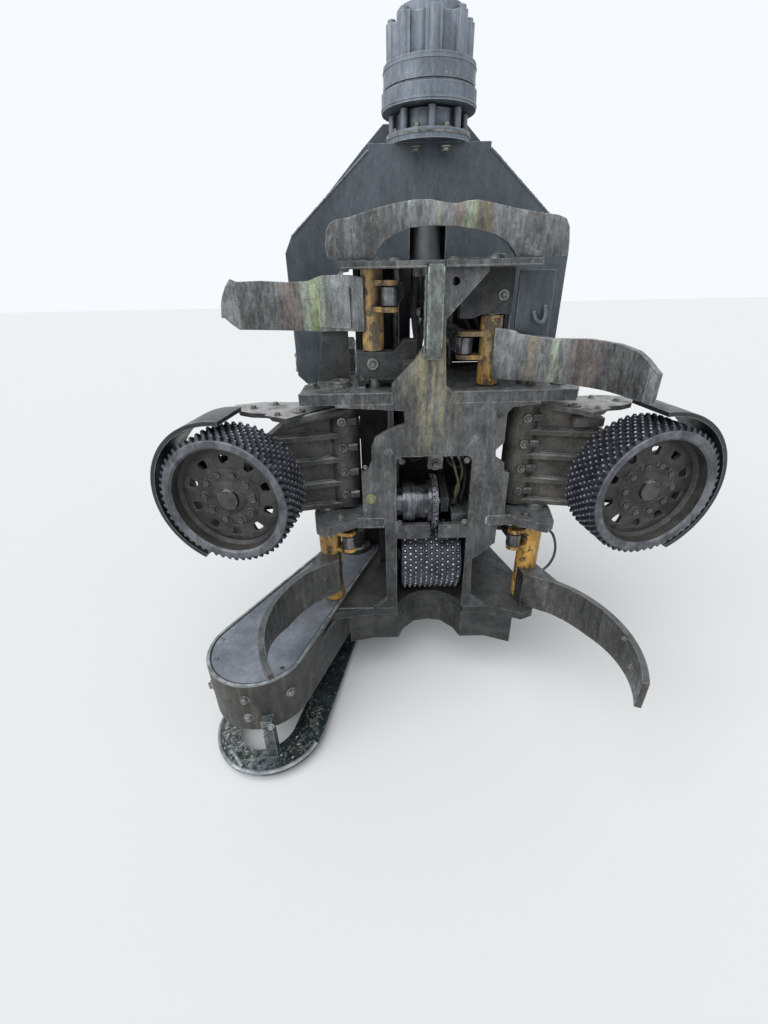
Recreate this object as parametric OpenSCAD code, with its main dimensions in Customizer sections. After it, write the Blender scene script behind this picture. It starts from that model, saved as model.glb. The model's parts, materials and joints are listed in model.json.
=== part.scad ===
// Harvester head hanging from its rotator: tilt frame, delimbing knives,
// feed rollers, measuring wheel, frame roller and saw unit.
// Millimetres. +Z is up, X is to the right for someone who faces the open
// head, and Y points away from them. The origin is the middle of the link
// pin's bore, at the top of the rotator.

/* [Rotator] */
// Radius of the link pin's bore
link_bore_r = 25; // [20:1:30]
// Length of the link pin's bore
link_len = 80; // [60:2:100]
// Radius of the widest ring
rotator_r = 145; // [135:1:150]
// Height of the bolt castle's top
castle_z = -104; // [-110:1:-98]
// Height of the rotator housing's underside
housing_z = -303; // [-306:1:-300]
// Radius of the flange under the rotor
flange_r = 132; // [120:1:140]

/* [Tilt frame] */
// Half of the frame's width
frame_half_w = 478; // [470:1:490]
// Front face of the frame
frame_front_y = -70; // [-80:1:-65]
// Back face of the frame
frame_back_y = 168; // [165:1:180]
// Underside of the frame's crown plate
crown_z = -403; // [-405:1:-401]
// Thickness of the frame's plates
frame_plate = 18; // [14:1:22]
// Distance of the tilt axis behind the rotator's axis
tilt_y = 30; // [20:1:40]
// Height of the tilt axis
tilt_z = -1040; // [-1050:1:-1030]
// Radius of the tilt pins
tilt_pin_r = 30; // [25:1:35]

/* [Head frame] */
// Front face of the main plate, where the stem lies
face_y = -520; // [-522:1:-518]
// Thickness of the main plate
face_t = 20; // [16:1:20]
// Top of the shelf plate
shelf_top_z = -705; // [-706:1:-704]
// Thickness of the shelf plate
shelf_t = 14; // [12:1:14]
// Top of the upper wing plate
wing_z = -1040; // [-1042:1:-1038]
// Top of the lower wing plate
lower_wing_z = -1450; // [-1452:1:-1448]
// Top of the base plate
base_z = -1832; // [-1834:1:-1832]
// Thickness of the wing plates and the base plate
wing_t = 30; // [26:1:30]
// Half of the upper wing plate's width
wing_half_w = 404; // [396:1:410]

/* [Knives] */
// Radius of the upper knives' hub tubes
upper_hub_r = 31; // [28:1:33]
// Distance of the upper knives' pins from the main plate's face
upper_hub_back = 100; // [98:1:104]
// Height of an upper knife's blade
upper_blade_h = 138; // [120:1:138]
// Thickness of an upper knife's blade
upper_blade_t = 14; // [10:1:16]
// Radius of an upper knife's curve
upper_curve_r = 400; // [380:5:420]
// Radius of the lower knives' hub tubes
lower_hub_r = 38; // [34:1:40]
// Thickness of a lower knife's blade
lower_blade_t = 18; // [14:1:20]
// Inner radius of a lower knife's curve
lower_curve_r = 344; // [340:1:348]
// How far the right upper knife is closed, in degrees
right_upper_turn = 55; // [50:1:58]
// How far the right lower knife stands open, in degrees
right_lower_turn = 6; // [3:1:8]

/* [Feed] */
// Radius of a feed roller, out to its stud tips
roller_r = 205; // [195:1:206]
// Width of a feed roller
roller_w = 150; // [130:2:150]
// How far a feed roller's face is turned outwards, in degrees
roller_turn = 10; // [6:1:12]
// Height of the feed rollers' axes
roller_z = -1315; // [-1320:1:-1310]
// Radius of a feed arm's hub
arm_hub_r = 52; // [46:1:54]
// Radius of the frame roller, out to its stud tips
frame_roller_r = 130; // [120:1:131]
// Radius of the measuring wheel
wheel_r = 95; // [85:1:96]

/* [Saw] */
// Distance of the saw's pivot to the left
saw_x = -300; // [-305:1:-295]
// Distance of the saw's pivot behind the rotator's front
saw_y = -110; // [-115:1:-105]
// Length of the saw bar from its pivot to its tip
bar_len = 770; // [700:5:775]
// Height of the saw box from its lid to its floor
box_h = 195; // [170:5:195]
// How far the middle of the saw bar runs under the box
bar_drop = 55; // [45:1:60]

/* [Hidden] */

// Clearance of a running fit and its smooth circles
fit = 0.05;
$fn = 72;

// Levels that follow from the plates
shelf_low_z = shelf_top_z - shelf_t;
wing_low_z = wing_z - wing_t;
lower_wing_low_z = lower_wing_z - wing_t;
base_low_z = base_z - wing_t;
lid_t = 12;
lid_top_z = base_z + lid_t;
box_low_z = lid_top_z - box_h;
bar_z = box_low_z - bar_drop;
leg_inner_x = 305;
portal_z = -697;
leg_low_z = tilt_z - 64;
face_back_y = face_y + face_t;

// Pins of the knives, the feed arms and the rams, as [x, y]
upper_pin_y = face_y + upper_hub_back;
upper_left_pin = [-185, upper_pin_y];
upper_right_pin = [158, upper_pin_y];
lower_left_pin = [-358, -450];
lower_right_pin = [355, -450];
arm_pin = [290, -400];
upper_left_base = [-110, -90];
upper_right_base = [86, -90];
lower_base = [240, -130];
feed_base = [215, -75];
upper_pin_r = 18;
lower_pin_r = 20;
arm_pin_r = 22;
base_pin_r = 14;

// The feed roller's middle, seen from above, on the right side
roller_mid = [617, -580];

// A ram has its base pin, its eye, its shortest length, its bore and rod
// radii, the thickness of its eyes and its height, or x in the tilt plane
upper_lever = 75;
lower_lever = 75;
feed_lever = 110;
upper_rest = -50;
lower_rest = -20;
feed_rest = 120;
upper_left_eye = upper_left_pin
    + upper_lever * [cos(upper_rest), sin(upper_rest)];
upper_right_eye = upper_right_pin
    + upper_lever * [-cos(upper_rest + right_upper_turn), sin(upper_rest + right_upper_turn)];
lower_left_eye = lower_left_pin + lower_lever * [cos(lower_rest), sin(lower_rest)];
lower_right_eye = lower_right_pin
    + lower_lever * [-cos(lower_rest - right_lower_turn), sin(lower_rest - right_lower_turn)];
feed_left_eye = [-arm_pin[0], arm_pin[1]] + feed_lever * [cos(feed_rest), sin(feed_rest)];
feed_right_eye = [-feed_left_eye[0], feed_left_eye[1]];
upper_left_z = shelf_low_z - 69;
upper_right_z = wing_z + 114;
lower_ram_z = lower_wing_low_z - 80;
feed_ram_z = -1265;
tilt_base = [tilt_y, -480];
tilt_eye = [-150, -900];

// Ram sizes: [shortest length, barrel radius, rod radius, eye radius, eye thickness]
upper_ram = [258, 30, 16, 24, 44];
lower_ram = [274, 32, 18, 25, 44];
feed_ram = [262, 34, 19, 27, 56];
tilt_ram = [455, 45, 25, 36, 54];

module both() {
    children();
    mirror([1, 0, 0]) children();
}

// Plates: standing across the head, lying flat, and standing along Y
module plate_xz(y0, t, pts) {
    translate([0, y0 + t, 0]) rotate([90, 0, 0]) linear_extrude(t) polygon(pts);
}
module plate_xy(z0, t, pts) {
    translate([0, 0, z0]) linear_extrude(t) polygon(pts);
}
module plate_yz(x0, t, pts) {
    translate([x0, 0, 0]) rotate([90, 0, 90]) linear_extrude(t) polygon(pts);
}
module rod_z(xy, z0, z1, r) {
    translate([xy[0], xy[1], z0]) cylinder(h = z1 - z0, r = r);
}
module rod_x(yz, x0, x1, r) {
    translate([x0, yz[0], yz[1]]) rotate([0, 90, 0]) cylinder(h = x1 - x0, r = r);
}
module rod_y(xz, y0, y1, r) {
    translate([xz[0], y0, xz[1]]) rotate([-90, 0, 0]) cylinder(h = y1 - y0, r = r);
}
// A flat band that follows a circle from one angle to another, under half a turn
module arc_band(inner, outer, from, to) {
    far = 2 * outer;
    middle = (from + to) / 2;
    intersection() {
        difference() {
            circle(outer, $fn = 144);
            circle(inner, $fn = 144);
        }
        polygon([[0, 0], for (a = [from, middle, to]) far * [cos(a), sin(a)]]);
    }
}
function flip(pts) = [for (i = [len(pts) - 1 : -1 : 0]) [-pts[i][0], pts[i][1]]];

// Rotator

shaft_r = 60;
shaft_top_z = housing_z + 100;

module rotator_housing() {
    ring_top_z = -205;
    groove_z = -252;
    windows = 8;
    color("slategray") difference() {
        union() {
            translate([0, 0, castle_z - 96]) cylinder(h = 96, r = 118);
            for (i = [0 : windows - 1]) rotate([0, 0, i * 360 / windows])
                translate([112, 0, ring_top_z]) cylinder(h = castle_z - ring_top_z, r = 17);
            translate([0, 0, groove_z]) cylinder(h = ring_top_z + 6 - groove_z, r = rotator_r - 6);
            translate([0, 0, groove_z - 8]) cylinder(h = 8, r = rotator_r - 12);
            translate([0, 0, housing_z]) cylinder(h = groove_z - 8 - housing_z, r = rotator_r);
        }
        for (i = [0 : windows - 1]) rotate([0, 0, (i + 0.5) * 360 / windows])
            translate([122, 0, ring_top_z + 10]) cylinder(h = 120, r = 24);
        translate([0, 0, housing_z - 1]) cylinder(h = shaft_top_z - housing_z + 1, r = shaft_r + fit);
    }
}

module rotator_lug() {
    lug_r = 52;
    foot_h = 24;
    color("dimgray") difference() {
        union() {
            rod_x([0, 0], -link_len / 2, link_len / 2, lug_r);
            translate([-link_len / 2, -lug_r, castle_z]) cube([link_len, 2 * lug_r, -castle_z]);
            translate([0, 0, castle_z]) cylinder(h = foot_h, r = 98);
        }
        rod_x([0, 0], -link_len, link_len, link_bore_r);
    }
}

// The rotor turns under the housing and carries the tilt frame
module rotor_flange() {
    neck_top_z = housing_z - 5;
    flange_top_z = -359;
    studs = 8;
    flange_low_z = crown_z + frame_plate;
    color("slategray") union() {
        translate([0, 0, neck_top_z]) cylinder(h = shaft_top_z - neck_top_z, r = shaft_r);
        translate([0, 0, flange_low_z]) cylinder(h = neck_top_z - flange_low_z, r = 98);
        translate([0, 0, flange_low_z]) cylinder(h = flange_top_z - flange_low_z, r = flange_r);
        for (i = [0 : studs - 1]) rotate([0, 0, i * 360 / studs])
            translate([112, 0, flange_top_z]) cylinder(h = neck_top_z - flange_top_z, r = 11);
    }
}

// Tilt frame

shoulder_x = 455;
shoulder_z = -628;
crown_x = 190;
knee_z = -672;

module tilt_frame() {
    back_y = frame_back_y - frame_plate;
    front_in_y = frame_front_y + frame_plate;
    inner = [[-leg_inner_x, leg_low_z], [-leg_inner_x, portal_z - 40], [-leg_inner_x + 40, portal_z],
        [leg_inner_x - 40, portal_z], [leg_inner_x, portal_z - 40], [leg_inner_x, leg_low_z]];
    foot = [[frame_half_w - 30, leg_low_z], [frame_half_w, leg_low_z + 30]];
    slope_len = norm([shoulder_x - crown_x, shoulder_z - crown_z]);
    slope_a = atan2(crown_z - shoulder_z, shoulder_x - crown_x);
    clevis_t = 15;
    color("darkslategray") difference() {
        union() {
            plate_xz(frame_front_y, frame_plate, concat(
                [[-crown_x, crown_z], [-shoulder_x, shoulder_z], [-frame_half_w, knee_z]],
                [[-foot[1][0], foot[1][1]], [-foot[0][0], foot[0][1]]], inner, foot,
                [[frame_half_w, knee_z], [shoulder_x, shoulder_z], [crown_x, crown_z]]));
            plate_xz(back_y, frame_plate, concat(
                [[-140, -292], [-215, -360], [-shoulder_x, shoulder_z + 36], [-frame_half_w, knee_z + 26]],
                [[-foot[1][0], foot[1][1]], [-foot[0][0], foot[0][1]]], inner, foot,
                [[frame_half_w, knee_z + 26], [shoulder_x, shoulder_z + 36], [215, -360], [140, -292]]));
            translate([-crown_x, frame_front_y, crown_z])
                cube([2 * crown_x, back_y - frame_front_y, frame_plate]);
            both() {
                translate([crown_x, front_in_y, crown_z]) rotate([0, slope_a, 0])
                    translate([-12, 0, -15]) cube([slope_len + 12, back_y - front_in_y, 15]);
                translate([frame_half_w - 15, front_in_y, leg_low_z + 30])
                    cube([15, back_y - front_in_y, knee_z - leg_low_z - 30]);
                translate([leg_inner_x, front_in_y, leg_low_z + 4])
                    cube([15, back_y - front_in_y, portal_z - 40 - leg_low_z]);
                plate_yz(30, clevis_t, [[tilt_y - 45, crown_z], [tilt_y - 34, -490],
                    [tilt_y - 20, -512], [tilt_y + 20, -512], [tilt_y + 34, -490], [tilt_y + 45, crown_z]]);
            }
        }
        both() {
            rod_x([tilt_y, tilt_z], leg_inner_x - 1, frame_half_w + 1, tilt_pin_r + fit);
            rod_x(tilt_base, 29, 46, tilt_ram_pin_r + fit);
        }
        // notch for the tilt ram
        translate([-60, frame_front_y - 1, portal_z - 1]) cube([120, frame_plate + 2, 150]);
    }
}

tilt_pin_in_x = 250;
tilt_ram_pin_r = 20;

module tilt_pins() {
    head_t = 12;
    color("gray") {
        both() {
            rod_x([tilt_y, tilt_z], tilt_pin_in_x, frame_half_w, tilt_pin_r);
            rod_x([tilt_y, tilt_z], frame_half_w, frame_half_w + head_t, tilt_pin_r + 16);
        }
        rod_x(tilt_base, -45, 45, tilt_ram_pin_r);
        rod_x(tilt_base, 45, 54, 28);
    }
}

// Head frame

neck_left = [[-42, shelf_low_z], [-42, wing_z + 132], [-69, wing_z + 93], [-134, wing_z + 26]];
neck_right = [[45, wing_z], [21, wing_z + 22], [12, shelf_low_z - 127], [118, shelf_low_z - 14],
    [118, shelf_low_z]];
pass_x = [-134, 45];
low_pass_x = [-161, 177];
roller_gap_x = [-123, 114];

module rounded_rect(x0, z0, x1, z1, r) {
    translate([x0 + r, z0]) square([x1 - x0 - 2 * r, z1 - z0]);
    translate([x0, z0 + r]) square([x1 - x0, z1 - z0 - 2 * r]);
    for (x = [x0 + r, x1 - r]) for (z = [z0 + r, z1 - r]) translate([x, z]) circle(r);
}

module main_plate() {
    gap_z = lower_wing_low_z - 50;
    left = [[pass_x[0], wing_z], [pass_x[0], wing_low_z], [-300, wing_low_z], [-300, -1077],
        [-100, -1090], [-96, -1130], [-140, -1146], [-187, -1173], [-197, -1201], [-199, -1252],
        [-211, -1275], [-232, -1290], [-232, -1440], [-245, lower_wing_z],
        [low_pass_x[0], lower_wing_z], [low_pass_x[0], lower_wing_low_z], [-160, base_z + 38], [-202, base_z]];
    gap = [[roller_gap_x[0], base_z], [roller_gap_x[0], gap_z], [roller_gap_x[1], gap_z],
        [roller_gap_x[1], base_z]];
    right = [[202, base_z], [145, base_z + 48], [139, lower_wing_low_z - 143],
        [213, lower_wing_low_z - 74], [213, lower_wing_low_z],
        [low_pass_x[1], lower_wing_low_z], [low_pass_x[1], lower_wing_z], [245, lower_wing_z],
        [232, -1440], [232, -1296], [216, -1290], [213, -1261], [186, -1244], [183, -1218],
        [206, -1194], [206, -1102], [221, -1085], [300, -1077], [300, wing_low_z], [pass_x[1], wing_low_z]];
    color("dimgray") translate([0, face_back_y, 0]) rotate([90, 0, 0]) linear_extrude(face_t) difference() {
        polygon(concat(neck_left, left, gap, right, neck_right));
        rounded_rect(roller_gap_x[0], -1480, roller_gap_x[1], -1233, 25);
        translate([-12, gap_z - 1]) square([30, 60]);
        translate([34, shelf_low_z - 35]) circle(11);
    }
}

spine_x = -46;
spine_t = 51;

module spine_bar() {
    front_y = face_y - 40;
    low_z = wing_z + 97;
    color("dimgray") plate_yz(spine_x, spine_t, [[front_y, shelf_top_z - 9], [front_y, low_z + 18],
        [front_y + 12, low_z], [face_y, low_z], [face_y, shelf_top_z - 9]]);
}

shelf_front_y = -545;

module shelf_plate() {
    color("dimgray") difference() {
        plate_xy(shelf_low_z, shelf_t, [[-266, shelf_front_y], [246, shelf_front_y], [246, -60],
            [75, -60], [75, -250], [-75, -250], [-75, -60], [-266, -60]]);
        translate([spine_x, shelf_front_y - 1, shelf_low_z - 1])
            cube([spine_t, face_y - shelf_front_y + 1, shelf_t + 2]);
        for (p = [upper_left_pin, upper_right_pin]) rod_z(p, shelf_low_z - 1, shelf_top_z + 1, upper_pin_r + fit);
        for (p = [upper_left_base, upper_right_base])
            rod_z(p, shelf_low_z - 1, shelf_top_z + 1, base_pin_r + fit);
    }
}

module top_knife() {
    back_r = 1200;
    blade = 22;
    back_y = -487;
    outline = [[-268, shelf_top_z], [-291, -629], [-257, -614], [-113, -586], [10, -584], [140, -593],
        [264, -613], [298, -630], [268, shelf_top_z], [172, shelf_top_z], [155, -668], [102, -644],
        [21, -632], [-71, -633], [-126, -645], [-157, -663], [-174, shelf_top_z]];
    color("dimgray") intersection() {
        plate_xz(-620, 200, outline);
        translate([0, back_y - back_r, -800]) difference() {
            cylinder(h = 300, r = back_r, $fn = 180);
            translate([0, 0, -1]) cylinder(h = 302, r = back_r - blade, $fn = 180);
        }
    }
}

module wing_plate() {
    front = [[-wing_half_w, face_y], [wing_half_w - 2, face_y], [wing_half_w + 22, -471]];
    color("dimgray") difference() {
        plate_xy(wing_low_z, wing_t, concat(front, [[wing_half_w - 4, -382], [298, -300], [298, -215],
            [250, -215], [250, -50], [-250, -50], [-250, -215], [-298, -215], [-298, -300],
            [-wing_half_w, -382]]));
        translate([pass_x[0], face_y - 1, wing_low_z - 1])
            cube([pass_x[1] - pass_x[0], face_t + 1, wing_t + 2]);
        both() rod_z(arm_pin, wing_low_z - 1, wing_z + 1, arm_pin_r + fit);
        for (p = [upper_left_base, upper_right_base]) rod_z(p, wing_low_z - 1, wing_z + 1, base_pin_r + fit);
        for (p = [upper_left_pin, upper_right_pin]) rod_z(p, wing_low_z - 1, wing_z + 1, upper_pin_r + fit);
    }
}

module lower_wing() {
    edge = [[-low_pass_x[0], face_y], [262, -529], [337, -575], [360, -585], [385, -560], [400, -470],
        [400, -400], [298, -215], [298, -90]];
    color("dimgray") difference() {
        plate_xy(lower_wing_low_z, wing_t, concat(flip(edge), edge));
        translate([low_pass_x[0], face_y - 1, lower_wing_low_z - 1])
            cube([low_pass_x[1] - low_pass_x[0], face_t + 1, wing_t + 2]);
        translate([-127, face_back_y, lower_wing_low_z - 1]) cube([190, 180, wing_t + 2]);
        both() rod_z(arm_pin, lower_wing_low_z - 1, lower_wing_z + 1, arm_pin_r + fit);
        both() rod_z(lower_base, lower_wing_low_z - 1, lower_wing_z + 1, base_pin_r + fit);
        for (p = [lower_left_pin, lower_right_pin])
            rod_z(p, lower_wing_low_z - 1, lower_wing_z + 1, lower_pin_r + fit);
    }
}

// Bracket level of the lower rams, above the saw motor
ram_bracket_z = lower_ram_z - 55;
bracket_t = 15;
box_side_x = 130;
box_back_y = -230;

module frame_box() {
    side_t = 15;
    rear = [[-298, wing_low_z], [-298, -1150], [-245, -1190], [-245, lower_wing_z],
        [245, lower_wing_z], [245, -1190], [298, -1150], [298, wing_low_z]];
    color("dimgray") {
        plate_xz(box_back_y, side_t, rear);
        both() translate([box_side_x, face_back_y, lower_wing_z])
            cube([side_t, box_back_y - face_back_y, wing_low_z - lower_wing_z]);
        difference() {
            union() {
                both() translate([box_side_x, face_back_y, base_z])
                    cube([side_t, box_back_y - face_back_y, lower_wing_low_z - base_z]);
                translate([-185, box_back_y, base_z]) cube([370, side_t, lower_wing_low_z - base_z]);
                both() translate([150, box_back_y + side_t, ram_bracket_z]) cube([140, 125, bracket_t]);
            }
            both() rod_z(lower_base, ram_bracket_z - 1, ram_bracket_z + bracket_t + 1, base_pin_r + fit);
        }
        // ears for the feed rams
        both() for (z = [feed_ram_z - 55, feed_ram_z + 40]) difference() {
            translate([170, box_back_y + side_t, z]) cube([75, 170, 15]);
            rod_z(feed_base, z - 1, z + 16, base_pin_r + fit);
        }
    }
}

block_y = -446;
block_t = 52;
left_block_z = wing_z + 104;
right_block_z = shelf_low_z - 121;

// Uprights between the wing plate and the shelf, with the tilt ram's bracket
module upper_box() {
    upright = [[-290, wing_z], [-35, wing_z], [-35, shelf_low_z - 90], [-60, shelf_low_z],
        [-290, shelf_low_z]];
    ear = [[tilt_eye[0] - 80, wing_z], [tilt_eye[0] - 34, tilt_eye[1] + 10],
        [tilt_eye[0] - 14, tilt_eye[1] + 32], [tilt_eye[0] + 14, tilt_eye[1] + 32],
        [tilt_eye[0] + 34, tilt_eye[1] + 10], [tilt_eye[0] + 80, wing_z]];
    color("dimgray") {
        both() plate_yz(228, 15, upright);
        plate_xz(-360, 9, [[-366, wing_z], [-262, wing_z], [-262, wing_z + 155], [-338, wing_z + 155]]);
        difference() {
            both() plate_yz(30, 14, ear);
            rod_x(tilt_eye, -60, 60, tilt_ram_pin_r + fit);
        }
        both() {
            rod_x(tilt_eye, 30, 44, tilt_ram_pin_r);
            rod_x(tilt_eye, 44, 49, 28);
        }
        // bearing blocks of the upper knives: left on the wing plate, right under the shelf
        difference() {
            union() {
                plate_xz(block_y, block_t, [[-236, wing_z], [-212, wing_z], [-212, wing_z + 26],
                    [-60, wing_z + 26], [-60, left_block_z + 31], [-95, left_block_z + 31],
                    [-125, left_block_z], [-236, left_block_z]]);
                translate([-100, face_back_y, wing_z + 40]) cube([40, block_y - face_back_y + 1, 40]);
                plate_xz(block_y, block_t, [[62, right_block_z - 10], [100, right_block_z - 10],
                    [122, right_block_z], [206, right_block_z], [206, shelf_low_z], [62, shelf_low_z]]);
            }
            for (p = [upper_left_pin, upper_right_pin]) rod_z(p, wing_z - 1, shelf_low_z + 1, upper_pin_r + fit);
        }
    }
}

module head_lugs() {
    color("dimgray") both() difference() {
        union() {
            plate_yz(258, 40, [[-215, tilt_z - 110], [-215, tilt_z - 35], [-215, tilt_z + 80],
                [-150, tilt_z + 110], [tilt_y, tilt_z + 70], [tilt_y + 20, tilt_z],
                [tilt_y, tilt_z - 70], [-120, tilt_z - 110]]);
            rod_x([tilt_y, tilt_z], 258, 298, 70);
        }
        rod_x([tilt_y, tilt_z], 250, 310, tilt_pin_r + fit);
    }
}

// Pins with a head on the plate above: [place, low end, high end, radius, head radius]
pins = [
    [upper_left_pin, wing_low_z, shelf_top_z, upper_pin_r, 26],
    [upper_right_pin, wing_low_z, shelf_top_z, upper_pin_r, 26],
    [[-arm_pin[0], arm_pin[1]], lower_wing_low_z, wing_z, arm_pin_r, 34],
    [arm_pin, lower_wing_low_z, wing_z, arm_pin_r, 34],
    [lower_left_pin, base_low_z, lower_wing_z, lower_pin_r, 30],
    [lower_right_pin, base_low_z, lower_wing_z, lower_pin_r, 30],
    [upper_left_base, wing_low_z, shelf_top_z, base_pin_r, 22],
    [upper_right_base, wing_low_z, shelf_top_z, base_pin_r, 22],
    [[-lower_base[0], lower_base[1]], ram_bracket_z, lower_wing_z, base_pin_r, 22],
    [lower_base, ram_bracket_z, lower_wing_z, base_pin_r, 22],
    [[-feed_base[0], feed_base[1]], feed_ram_z - 55, feed_ram_z + 55, base_pin_r, 22],
    [feed_base, feed_ram_z - 55, feed_ram_z + 55, base_pin_r, 22]];

module hinge_pins() {
    color("gray") for (p = pins) {
        rod_z(p[0], p[1], p[2], p[3]);
        rod_z(p[0], p[2], p[2] + 8, p[4]);
    }
}

// Saw unit

nose = [-590, -715];
nose_r = 165;
guard_nose = [-572, -769];
guard_nose_r = 188;
tail_r = 110;

// Outline round two circles and the lines that touch both
module tear(a, ra, b, rb) {
    d = b - a;
    turn = acos((ra - rb) / norm(d));
    line = atan2(d[1], d[0]);
    translate(a) circle(ra);
    translate(b) circle(rb);
    polygon([a + ra * [cos(line + turn), sin(line + turn)], a + ra * [cos(line - turn), sin(line - turn)],
        b + rb * [cos(line - turn), sin(line - turn)], b + rb * [cos(line + turn), sin(line + turn)]]);
}

module saw_box() {
    wall = 10;
    pivot = [saw_x, saw_y];
    color("darkslategray") difference() {
        union() {
            translate([0, 0, base_z]) linear_extrude(lid_t) tear(nose, nose_r, pivot, tail_r);
            translate([0, 0, box_low_z]) linear_extrude(base_z - box_low_z) difference() {
                tear(nose, nose_r, pivot, tail_r);
                tear(nose, nose_r - wall, pivot, tail_r - wall);
            }
            translate([0, 0, box_low_z]) linear_extrude(wall) tear(nose, nose_r, pivot, tail_r);
        }
        translate([base_left_x, -700, base_low_z]) cube([500, 800, wing_t]);
        rod_z(lower_left_pin, base_z - 1, lid_top_z + 1, lower_pin_r + fit);
        rod_z(pivot, box_low_z - 1, lid_top_z + 1, 25 + fit);
    }
}

base_left_x = -385;

module base_plate() {
    color("dimgray") difference() {
        plate_xy(base_low_z, wing_t, [[base_left_x, -560], [-330, -540], [-210, face_y], [210, face_y],
            [330, -564], [372, -545], [400, -480], [395, -420], [300, -90], [base_left_x, -90]]);
        translate([0, -545, base_low_z - 1]) cylinder(h = wing_t + 2, r = 125);
        for (p = [lower_left_pin, lower_right_pin]) rod_z(p, base_low_z - 1, base_z + 1, lower_pin_r + fit);
        rod_z([saw_x, saw_y], base_low_z - 1, base_z + 1, 25 + fit);
    }
}

// Skirt under the base plate, from the saw box to the arch
module base_skirt() {
    pts = [[-300, -534], [-210, -516], [-118, -516], [-98, -470], [-52, -424], [0, -416], [52, -424],
        [98, -470], [118, -516], [210, -516], [300, -552]];
    depth = 120;
    color("dimgray") translate([0, 0, base_low_z - depth]) linear_extrude(depth)
        polygon(concat(pts, [for (i = [len(pts) - 1 : -1 : 0]) pts[i] + [0, 14]]));
}

module saw_guard() {
    plate_t = 12;
    guard_z = bar_z - 70;
    rim = 85;
    post = [-562, nose[1] - nose_r - 20];
    pivot = [saw_x, saw_y];
    top = guard_z + plate_t;
    web_a = atan2(nose[1] - saw_y, nose[0] - saw_x) + 4.7;
    color("darkslategray") {
        translate([0, 0, guard_z]) linear_extrude(plate_t) difference() {
            tear(guard_nose, guard_nose_r, pivot, 60);
            translate([-20, 0]) tear(guard_nose, guard_nose_r - rim, pivot, 10);
        }
        // post at the nose, seated on the box's wall, and web down the outer side
        difference() {
            translate([post[0], post[1], top]) cube([34, 32, box_low_z - top + 60]);
            rod_z(nose, box_low_z - 1, lid_top_z, nose_r + fit);
        }
        translate([saw_x, saw_y, top]) rotate([0, 0, web_a]) translate([80, -tail_r - 2, 0])
            cube([330, 10, box_low_z - top]);
    }
}

module saw_motor() {
    pivot = [saw_x, saw_y];
    color("dimgray") {
        rod_z(pivot, lid_top_z, lid_top_z + 160, 52);
        rod_z(pivot, lid_top_z, lid_top_z + 22, 72);
        rod_z(pivot, lid_top_z + 160, lid_top_z + 175, 38);
    }
}

bar_half_w = 42;

module saw_bar() {
    pivot = [saw_x, saw_y];
    reach = bar_len - bar_half_w;
    to_nose = atan2(nose[1] - saw_y, nose[0] - saw_x);
    color("silver") union() {
        rod_z(pivot, bar_z - 14, box_low_z - 3, 46);
        rod_z(pivot, bar_z - 14, lid_top_z - 4, 25);
        translate([saw_x, saw_y, bar_z - 4]) rotate([0, 0, to_nose]) linear_extrude(8) {
            translate([0, -bar_half_w]) square([reach, 2 * bar_half_w]);
            translate([reach, 0]) circle(bar_half_w);
        }
    }
}

// Rear of the head

module valve_block() {
    wide = 220;
    color("gray") translate([-wide / 2, -420, -1210]) cube([wide, box_back_y + 420, 120]);
}

module rear_hood() {
    hood = [[-215, -1200], [-215, -1440], [-100, -1440], [-45, -1390], [-45, -1260], [-100, -1200]];
    color("darkslategray") plate_yz(-150, 300, hood);
}

frame_roller_c = [-400, base_z + 165];
frame_stud_h = 8;
wheel_c = [-440, lower_wing_z + 20];

module roller_mount() {
    color("dimgray") {
        for (x = [-box_side_x, 114]) difference() {
            translate([x, frame_roller_c[0] - 45, frame_roller_c[1] - 45]) cube([16, 215, 90]);
            rod_x(frame_roller_c, x - 1, x + 17, 30 + fit);
        }
    }
}

module frame_roller() {
    color("dimgray") {
        translate([0, frame_roller_c[0], frame_roller_c[1]])
            studded_drum(-108, 106, frame_roller_r, frame_stud_h, 4, 16, 30, 16);
        rod_x(frame_roller_c, -box_side_x + 1, box_side_x - 1, 30);
    }
}

module wheel_arm() {
    arm = [[wheel_c[0] - 30, wheel_c[1] - 26], [wheel_c[0] - 30, wheel_c[1] + 26],
        [-400, wheel_c[1] + 40], [box_back_y, wheel_c[1] + 90], [box_back_y, wheel_c[1] + 40],
        [wheel_c[0] + 60, wheel_c[1] - 26]];
    color("gray") difference() {
        plate_yz(30, 24, arm);
        rod_x(wheel_c, 20, 60, 16 + fit);
    }
}

// Stepped drum with a toothed disc in the middle
module measuring_wheel() {
    teeth = 36;
    color("silver") union() {
        rod_x(wheel_c, -120, -100, 50);
        rod_x(wheel_c, -100, -60, 66);
        rod_x(wheel_c, -60, -16, 58);
        rod_x(wheel_c, -16, -4, 72);
        rod_x(wheel_c, -4, 6, wheel_r - 8);
        rod_x(wheel_c, 6, 54, 16);
        for (i = [0 : teeth - 1]) translate([-4, wheel_c[0], wheel_c[1]]) rotate([i * 360 / teeth, 0, 0])
            translate([0, -4, wheel_r - 12]) cube([10, 8, 12]);
    }
}

// Knives

// A lever plate that points along one direction
module lever(reach, a, hub_r, eye_r, hole_r, t) {
    linear_extrude(t) difference() {
        union() {
            circle(hub_r);
            rotate(a) translate([0, -eye_r]) square([reach, 2 * eye_r]);
            rotate(a) translate([reach, 0]) circle(eye_r);
        }
        rotate(a) translate([reach, 0]) circle(hole_r);
    }
}

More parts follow.
